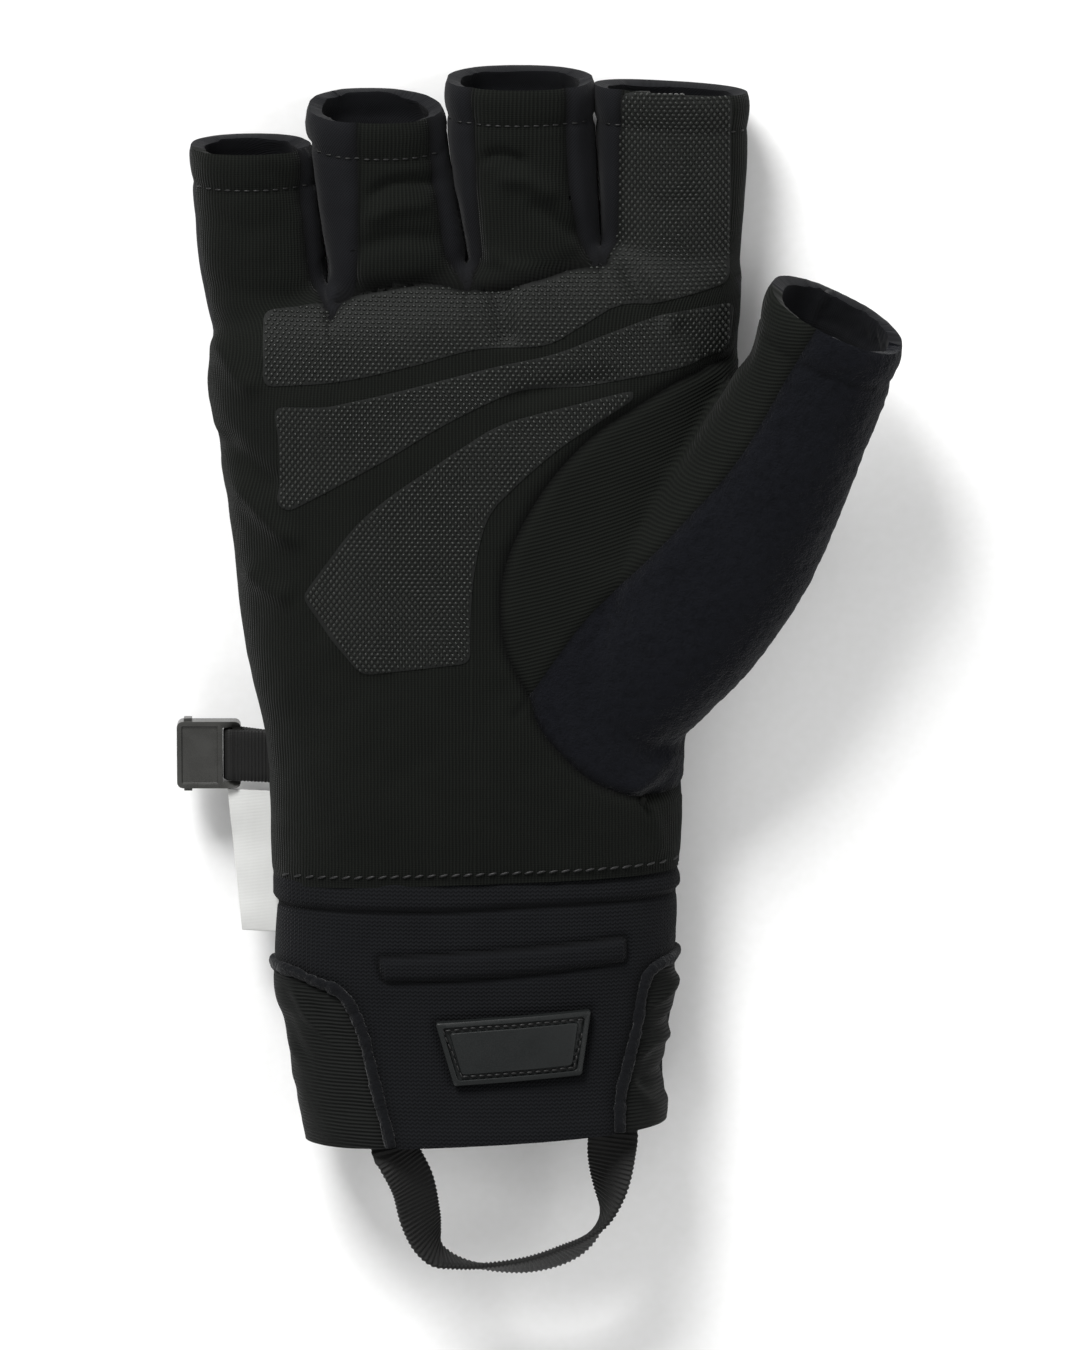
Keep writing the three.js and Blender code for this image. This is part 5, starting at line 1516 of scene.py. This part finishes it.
class GLOVE_OT_cuff_piping(bpy.types.Operator):
    """Roll the looped binding along the two seams of the cuff"""

    bl_idname = "glove.cuff_piping"
    bl_label = "Cuff Piping"

    def execute(self, context):
        sizes = context.scene.glove_sizes
        rng = random.Random(11)
        for name, line in zip(("cuff_piping_left", "cuff_piping_right"), FORMS["piping"]):
            fine = smooth_line(line, 0.5)
            points, normals = draped_path(FORMS["cuff"], fine, 0.25)
            first = points[0]
            down = -1 if first.x < 0 else 1
            # The first stretch turns down over the side of the cuff
            for k in range(1, 14):
                below = Vector((first.x + down * 1.2 * k ** 0.5, first.y, first.z - 1.1 * k))
                place, normal = FORMS["cuff"].find_nearest(below)[:2]
                points.insert(0, place + normal * 0.25)
                normals.insert(0, normal)
            keep = [i for i, p in enumerate(points) if p.y > HEM_Y + HEM_SLOPE * p.x - 0.6]
            points, normals = [points[i] for i in keep], [normals[i] for i in keep]
            radius = sizes.piping_width / MM / 2
            lumps = [1 + 0.16 * rng.uniform(-1, 1) for _ in points]
            turns = np.linspace(0, 2 * np.pi, 13)
            rings = []
            for (place, side, up), lump in zip(path_frames(points, normals), lumps):
                across, high = side * radius * lump, up * radius * 0.72 * lump
                rings.append([place + across * math.cos(a) + high * math.sin(a) for a in turns])
            bm = bmesh.new()
            wrap_grid(bm, rings)
            close_ends(bm)
            soften(bm, bm.verts)
            finish_piece(bm, name + "_roll", ("terry_roll",), (name,), "cuff_knit")
        return {"FINISHED"}


class GLOVE_OT_badge(bpy.types.Operator):
    """Mould the bare rubber badge with its raised frame and sewing groove"""

    bl_idname = "glove.badge"
    bl_label = "Badge"

    def execute(self, context):
        bm = bmesh.new()
        corners = [bm.verts.new((x, y, 0)) for x, y in badge_outline(0)]
        bm.faces.new(corners)
        made = bmesh.ops.extrude_face_region(bm, geom=bm.faces[:])
        top = [g for g in made["geom"] if isinstance(g, bmesh.types.BMFace)]
        bmesh.ops.translate(bm, vec=(0, 0, BADGE_PLATE), verts=list(top[0].verts))
        for width, rise in BADGE_STEPS:
            bmesh.ops.inset_individual(bm, faces=top, thickness=width, depth=rise, use_even_offset=True)
        # The edges that run through the four corners are short; rounding them rounds every step
        through = [e for e in bm.edges if e.calc_length() < 3]
        bmesh.ops.bevel(bm, geom=through, offset=0.6, offset_type="OFFSET", segments=4, profile=0.5,
                        affect="EDGES", material=-1)
        for x in np.arange(-15, 15.1, 1.5):
            cut_level(bm, (x, 0, 0), (1, 0, 0))
        cx, cy = on_cuff(BADGE_PLACE)
        turn = Matrix.Rotation(math.radians(BADGE_TURN), 4, "Z")
        bmesh.ops.transform(bm, matrix=Matrix.Translation((cx, cy, 0)) @ turn, verts=bm.verts)
        for vert in bm.verts:
            place, _ = laid_on(FORMS["cuff"], vert.co.x, vert.co.y)
            vert.co.z += place.z - 0.1
        bmesh.ops.recalc_face_normals(bm, faces=bm.faces)
        finish_piece(bm, "badge_rubber", ("badge_rubber",), ("badge",), "badge_rubber",
                     edge=0.08, crisp=True)
        return {"FINISHED"}


def webbing_section(width, thickness):
    """Outline of webbing: flat with rounded selvedges, as (across, height) pairs."""
    half, thick = width / 2, thickness / 2
    turns = np.linspace(-1.57, 1.57, 5)
    side = [(half - thick * 0.6 * (1 - math.cos(a)), thick * math.sin(a)) for a in turns]
    top = [(x, thick) for x in np.linspace(half - thick, -half + thick, 7)[1:-1]]
    left = [(-x, -z) for x, z in side]
    bottom = [(-x, -z) for x, z in top]
    points = side + top + left + bottom
    return points + points[:1]


def ribbed_webbing(frames, width, pitch, lengths):
    """Webbing with cross ribs along frames (place, across, face)."""
    base = webbing_section(width, WEBBING_THICKNESS)
    rings, cloth = [], []
    for (place, across, face), length in zip(frames, lengths):
        swell = 1 + 0.26 * math.cos(2 * math.pi * length / pitch)
        edge = 1 + 0.012 * math.cos(2 * math.pi * length / pitch)
        rings.append([place + across * (a * edge) + face * (b * swell) for a, b in base])
        cloth.append([(a, length) for a, _ in base])
    bm = bmesh.new()
    wrap_grid(bm, rings, cloth)
    close_ends(bm)
    return bm


class GLOVE_OT_pull_loop(bpy.types.Operator):
    """Weave the pull loop of webbing at the hem"""

    bl_idname = "glove.pull_loop"
    bl_label = "Pull Loop"

    def execute(self, context):
        sizes = context.scene.glove_sizes
        pitch = sizes.webbing_rib / MM
        rows = []
        for across, out, height, roll in LOOP_ROWS:
            x = LOOP_MIDDLE + across * LOOP_SPREAD
            rows.append((x, HEM_Y + HEM_SLOPE * x - out * LOOP_LENGTH, height * CUFF_THICKNESS, roll))
        line = smooth_line(rows, pitch / (5))
        frames, lengths = [], []
        travelled = 0.0
        for i, (x, y, z, roll) in enumerate(line):
            ahead = Vector(line[min(i + 1, len(line) - 1)][:3]) - Vector(line[max(i - 1, 0)][:3])
            ahead.normalize()
            level = ahead.cross(Vector((0, 0, 1))).normalized()
            over = level.cross(ahead)
            angle = math.radians(roll)
            across = level * math.cos(angle) + over * math.sin(angle)
            if i:
                travelled += float(np.linalg.norm(line[i][:3] - line[i - 1][:3]))
            frames.append((Vector((x, y, z)), across, ahead.cross(across)))
            lengths.append(travelled)
        bm = ribbed_webbing(frames, sizes.webbing_width / MM, pitch, lengths)
        finish_piece(bm, "pull_loop_webbing", ("webbing_weave",), ("pull_loop",), "grosgrain")
        return {"FINISHED"}


def side_x():
    """The left edge of the hand at the keeper strap."""
    return -hand_at((STRAP_Y - WRIST_Y) / PALM_LENGTH)[0]


def build_buckle(bar):
    """A moulded plate with a slot beside its bar, drawn from above and thickened, with a sunk face."""
    right, half = bar + BAR_RADIUS, BUCKLE_WIDTH / 2
    left, slot_left = right - BUCKLE_LENGTH, bar - BAR_RADIUS - BUCKLE_SLOT
    bm = bmesh.new()
    corners = ((left, -half), (right, -half), (right, half), (left, half))
    bm.faces.new([bm.verts.new((x, STRAP_Y + y, 0)) for x, y in corners])
    for x in (bar - BAR_RADIUS, slot_left):
        cut_level(bm, (x, 0, 0), (1, 0, 0))
    for y in (BUCKLE_SIDE - half, half - BUCKLE_SIDE):
        cut_level(bm, (0, STRAP_Y + y, 0), (0, 1, 0))
    centres = centres_of(bm)
    drop_faces(bm, (abs(centres[:, 0] - (bar - BAR_RADIUS + slot_left) / 2) < BUCKLE_SLOT / 2)
               & (abs(centres[:, 1] - STRAP_Y) < half - BUCKLE_SIDE))
    made = bmesh.ops.extrude_face_region(bm, geom=bm.faces[:])
    raised = [g for g in made["geom"] if isinstance(g, bmesh.types.BMVert)]
    bmesh.ops.translate(bm, vec=(0, 0, BUCKLE_THICKNESS), verts=raised)
    bmesh.ops.translate(bm, vec=(0, 0, BAR_Z - BUCKLE_THICKNESS / 2), verts=bm.verts)
    # The bar is thinner than the plate
    for vert in bm.verts:
        if vert.co.x > bar - BAR_RADIUS - 0.05 and abs(vert.co.y - STRAP_Y) < half - BUCKLE_SIDE + 0.1:
            vert.co.z = BAR_Z + (vert.co.z - BAR_Z) * 0.4
    bmesh.ops.recalc_face_normals(bm, faces=bm.faces)
    # Its four upright edges are rounded
    upright = [e for e in bm.edges if len(e.link_faces) == 2 and e.calc_face_angle(0) > 0.5
               and abs(e.verts[0].co.z - e.verts[1].co.z) > 1.5
               and not left + 0.1 < e.verts[0].co.x < right - 0.1]
    bmesh.ops.bevel(bm, geom=upright, offset=1.2, offset_type="OFFSET", segments=5, profile=0.5,
                    affect="EDGES", material=-1)
    # A stud on each side
    for y in (-1, 1):
        place = Matrix.Translation((left + 2.2, STRAP_Y + y * (half + 0.15), BAR_Z))
        bmesh.ops.create_cube(bm, size=1, matrix=place @ Matrix.Diagonal((1.6, 0.9, 2.6, 1)))
    face = [f for f in bm.faces if f.normal.z > 0.9 and f.calc_center_median().x < slot_left
            and f.calc_area() > 3]
    for width, rise in ((0.9, 0.0), (0.25, -0.35)):
        bmesh.ops.inset_region(bm, faces=face, thickness=width, depth=rise, use_even_offset=True)
    return bm


class GLOVE_OT_keeper(bpy.types.Operator):
    """Build the keeper strap and its buckle at the little finger's side"""

    bl_idname = "glove.keeper"
    bl_label = "Keeper Strap and Buckle"

    def execute(self, context):
        edge, bar = side_x(), side_x() - STRAP_REACH
        reach = BAR_RADIUS + 1.2
        arc = [(bar - reach * math.sin(a), BAR_Z + reach * math.cos(a)) for a in np.linspace(0, math.pi, 16)]
        path = [(edge + 2.4, SEAM_HEIGHT + 0.55), (edge + 0.4, SEAM_HEIGHT + 0.5)] + arc + [
            (edge + 0.4, SEAM_HEIGHT - 0.75), (edge + 2.4, SEAM_HEIGHT - 0.7)]
        line = smooth_line(path, STRAP_STEP)
        frames, lengths = [], []
        for i, (x, z) in enumerate(line):
            before, after = line[max(i - 1, 0)], line[min(i + 1, len(line) - 1)]
            ahead = Vector((after[0] - before[0], 0, after[1] - before[1])).normalized()
            across = Vector((0, 1, 0))
            frames.append((Vector((x, STRAP_Y, z)), across, ahead.cross(across)))
            lengths.append(i * STRAP_STEP)
        bm = ribbed_webbing(frames, STRAP_WIDTH, STRAP_RIB, lengths)
        finish_piece(bm, "keeper_strap_webbing", ("webbing_weave",), ("buckle_strap",), "grosgrain")
        finish_piece(build_buckle(bar), "buckle_moulding", ("buckle_acetal",), ("buckle",), "buckle_plastic",
                     edge=0.32, crisp=True)
        return {"FINISHED"}


class GLOVE_OT_label(bpy.types.Operator):
    """Weave the bare white label at the side seam"""

    bl_idname = "glove.label"
    bl_label = "Label"

    def execute(self, context):
        edge = side_x()
        top = STRAP_Y - STRAP_WIDTH / 2 - 1.9
        bm = bmesh.new()
        bmesh.ops.create_grid(bm, x_segments=26, y_segments=56, size=1)
        layer = bm.loops.layers.uv.new("Cloth")
        for vert in bm.verts:
            u, v = (vert.co.x + 1) / 2, (vert.co.y + 1) / 2
            left = edge - LABEL_REACH + LABEL_SLANT * (1 - v)
            x = left + (edge + 3 - left) * u
            y = top - LABEL_DROP * (1 - v)
            droop = 0.28 * (x - edge)
            ripple = 0.35 * math.sin(v * 7 + 0.6) * (1 - u) + 0.15 * math.sin(v * 17) * (1 - u)
            vert.co = (x, y, SEAM_HEIGHT - 0.4 + droop + ripple)
        for face in bm.faces:
            for loop in face.loops:
                loop[layer].uv = (loop.vert.co.x * MM, loop.vert.co.y * MM)
        finish_piece(bm, "woven_label", ("label_satin",), ("label",), "woven_label", 0.6, 0.12)
        return {"FINISHED"}


def add_stitch(bm, place, ahead, normal, length, radius):
    """One stitch: a short thread that dips into the cloth at both ends."""
    side = ahead.cross(normal).normalized()
    up = side.cross(ahead).normalized()
    turn = Matrix((ahead * (length / 2 / radius), side, up)).transposed().to_4x4()
    bmesh.ops.create_uvsphere(bm, u_segments=6, v_segments=5, radius=radius,
                              matrix=Matrix.Translation(place) @ turn @ Matrix.Rotation(math.pi / 2, 4, "Y"))


def stitch_row(bm, tree, line, pitch, length, radius=0.22, height=0.05, lean=0.0):
    """Stitches along a line drawn from above."""
    points, normals = draped_path(tree, smooth_line(line, pitch), height)
    for i, (place, normal) in enumerate(zip(points, normals)):
        ahead = points[min(i + 1, len(points) - 1)] - points[max(i - 1, 0)]
        if ahead.length < 1e-6:
            continue
        ahead.normalize()
        if lean:
            ahead = Matrix.Rotation(lean, 3, normal) @ ahead
        add_stitch(bm, place, ahead, normal, length, radius)


class GLOVE_OT_stitching(bpy.types.Operator):
    """Sew the hems, the wrist seam and the badge"""

    bl_idname = "glove.stitching"
    bl_label = "Stitching"

    def execute(self, context):
        hand, cuff, lines = FORMS["hand"], FORMS["cuff"], FORMS["lines"]
        hems = bmesh.new()
        for finger in FINGERS:
            point, normal = rim_plane(finger)
            middle, half = finger_section(finger, 1.0)[:2]
            xs = np.arange(middle - half + 0.6, middle + half - 0.5, 1.9)
            # Where the hem's row crosses each x at the height of the cloth
            for x in xs:
                y = point[1] - HEM_ROW
                for _ in range(3):
                    spot = laid_on(hand, x, y)
                    if spot is None:
                        break
                    back = (Vector(point) - spot[0]).dot(normal)
                    y += back - HEM_ROW
                if spot is None:
                    continue
                place, facing = spot
                ahead = Vector((1, 0, -facing.x / max(facing.z, 0.3))).normalized()
                add_stitch(hems, place + facing * 0.02, ahead, facing, 1.35, 0.2)
        finish_piece(hems, "finger_hem_stitches", ("sewing_thread",))
        wrist = bmesh.new()
        line = lines["wrist"] + (0, 1.1)
        line = line[(line[:, 0] > -56) & (line[:, 0] < 31)]
        stitch_row(wrist, hand, line, 2.4, 2.1, 0.3, 0.02, math.radians(14))
        finish_piece(wrist, "wrist_seam_stitches", ("sewing_thread",))
        sewing = bmesh.new()
        corners = [Vector(p) for p in badge_on_cuff(BADGE_GROOVE)]
        for a, b in zip(corners, corners[1:] + corners[:1]):
            stitch_row(sewing, cuff, [tuple(a.lerp(b, 0.03)), tuple(a.lerp(b, 0.97))], 1.6, 1.25, 0.24, 1.55)
        finish_piece(sewing, "badge_stitches", ("sewing_thread",))
        return {"FINISHED"}


class GLOVE_OT_stage(bpy.types.Operator):
    """Set the pale floor, the soft lights and the camera"""

    bl_idname = "glove.stage"
    bl_label = "Stage"

    def execute(self, context):
        scene = context.scene
        bm = bmesh.new()
        bmesh.ops.create_grid(bm, x_segments=8, y_segments=8, size=FLOOR_HALF)
        mesh = bpy.data.meshes.new("floor")
        bmesh.ops.translate(bm, vec=(0, 0, min(CAD_BOX[0][2], 0) - FLOOR_GAP), verts=bm.verts)
        bm.to_mesh(mesh)
        bm.free()
        mesh.materials.append(material_for("studio_paper"))
        floor = bpy.data.objects.new("floor", mesh)
        scene.collection.objects.link(floor)

        world = bpy.data.worlds.new("studio")
        world.use_nodes = True
        background = world.node_tree.nodes["Background"]
        background.inputs[0].default_value = (1, 1, 1, 1)
        background.inputs[1].default_value = WORLD_LIGHT
        scene.world = world
        for name, place, size, power in LIGHTS:
            light = bpy.data.lights.new(name, "AREA")
            light.shape = "SQUARE"
            light.size = size
            light.energy = power
            lamp = bpy.data.objects.new(name, light)
            lamp.location = place
            lamp.rotation_euler = (-Vector(place)).to_track_quat("-Z", "Y").to_euler()
            scene.collection.objects.link(lamp)

        data = bpy.data.cameras.new("camera")
        data.sensor_fit = "VERTICAL"
        data.sensor_height = CAMERA_SENSOR
        data.lens = CAMERA_SENSOR * CAMERA_DISTANCE / VIEW_HEIGHT
        camera = bpy.data.objects.new("camera", data)
        away = Vector((0, math.sin(CAMERA_TILT), math.cos(CAMERA_TILT)))
        camera.location = Vector(CAMERA_TARGET) + CAMERA_DISTANCE * away
        camera.rotation_euler = (-CAMERA_TILT, 0, 0)
        scene.collection.objects.link(camera)
        scene.camera = camera
        scene.view_settings.view_transform = "Standard"
        return {"FINISHED"}


def size_setting(name, description, default, low, high):
    """A length that a user may change, in metres."""
    return bpy.props.FloatProperty(name=name, description=description, default=default, min=low, max=high,
                                   unit="LENGTH", precision=5)


class GloveSizes(bpy.types.PropertyGroup):
    """Sizes that a user may change"""

    cloth_wall: size_setting("Cloth Wall", "Thickness of the fleece-backed cloth", 0.0017, 0.0005, 0.004)
    cloth_fineness: size_setting("Cloth Fineness", "Size of the faces of the hand", 0.0009, 0.0004, 0.003)
    cuff_fineness: size_setting("Cuff Fineness", "Size of the faces of the cuff", 0.0006, 0.0003, 0.003)
    dot_pitch: size_setting("Dot Pitch", "Distance between the dots of a row", 0.00115, 0.0008, 0.004)
    dot_row: size_setting("Dot Rows", "Distance between rows of dots", 0.0008, 0.0005, 0.004)
    piping_width: size_setting("Piping Width", "Width of the cuff's rolled binding", 0.0026, 0.001, 0.005)
    webbing_width: size_setting("Webbing Width", "Width of the pull loop's webbing", 0.01, 0.005, 0.02)
    webbing_rib: size_setting("Webbing Rib", "Distance between the webbing's ribs", 0.0009, 0.0005, 0.003)


def palette_colour(name, description, hex_colour):
    """A colour of the palette."""
    return bpy.props.FloatVectorProperty(name=name, description=description, subtype="COLOR", size=3, min=0,
                                         max=1, default=to_linear(hex_colour)[:3])


class GlovePalette(bpy.types.PropertyGroup):
    """Colours that a user may change"""

    knit: palette_colour("Knit", "Ribbed knit of the palm", "#151714")
    shell: palette_colour("Shell", "Soft shell of the back and between the fingers", "#141518")
    fleece: palette_colour("Fleece", "Thumb wipe", "#121317")
    grip: palette_colour("Grip", "Silicone print", "#272926")
    cuff: palette_colour("Cuff", "Spacer knit of the cuff", "#161719")
    elastic: palette_colour("Elastic", "Gussets of the cuff", "#131513")
    badge: palette_colour("Badge", "Rubber badge", "#1b1d1d")
    webbing: palette_colour("Webbing", "Pull loop and keeper strap", "#181817")
    buckle: palette_colour("Buckle", "Moulded buckle", "#3c3c3a")
    label: palette_colour("Label", "Woven label", "#c9cac8")
    thread: palette_colour("Thread", "Sewing thread", "#121212")


OPERATORS = (
    GLOVE_OT_hand, GLOVE_OT_grip_prints, GLOVE_OT_cuff, GLOVE_OT_cuff_piping, GLOVE_OT_badge,
    GLOVE_OT_pull_loop, GLOVE_OT_keeper, GLOVE_OT_label, GLOVE_OT_stitching, GLOVE_OT_stage,
)


class GLOVE_PT_panel(bpy.types.Panel):
    """Lists the pieces of the glove"""

    bl_idname = "GLOVE_PT_panel"
    bl_label = "Fishing Glove"
    bl_space_type = "VIEW_3D"
    bl_region_type = "UI"
    bl_category = "Glove"

    def draw(self, context):
        layout = self.layout
        for group in (context.scene.glove_sizes, context.scene.glove_palette):
            box = layout.box()
            for name in group.__annotations__:
                box.prop(group, name)
        for operator in OPERATORS:
            layout.operator(operator.bl_idname)


CLASSES = (GloveSizes, GlovePalette) + OPERATORS + (GLOVE_PT_panel,)


def register():
    """Registers the classes and their settings."""
    for cls in CLASSES:
        bpy.utils.register_class(cls)
    bpy.types.Scene.glove_sizes = bpy.props.PointerProperty(type=GloveSizes)
    bpy.types.Scene.glove_palette = bpy.props.PointerProperty(type=GlovePalette)


def unregister():
    """Takes the classes and their settings away again."""
    del bpy.types.Scene.glove_palette
    del bpy.types.Scene.glove_sizes
    for cls in reversed(CLASSES):
        bpy.utils.unregister_class(cls)


def main():
    """Builds every piece and the stage."""
    register()
    for operator in OPERATORS:
        group, name = operator.bl_idname.split(".")
        getattr(getattr(bpy.ops, group), name)()


if __name__ == "__main__":
    main()
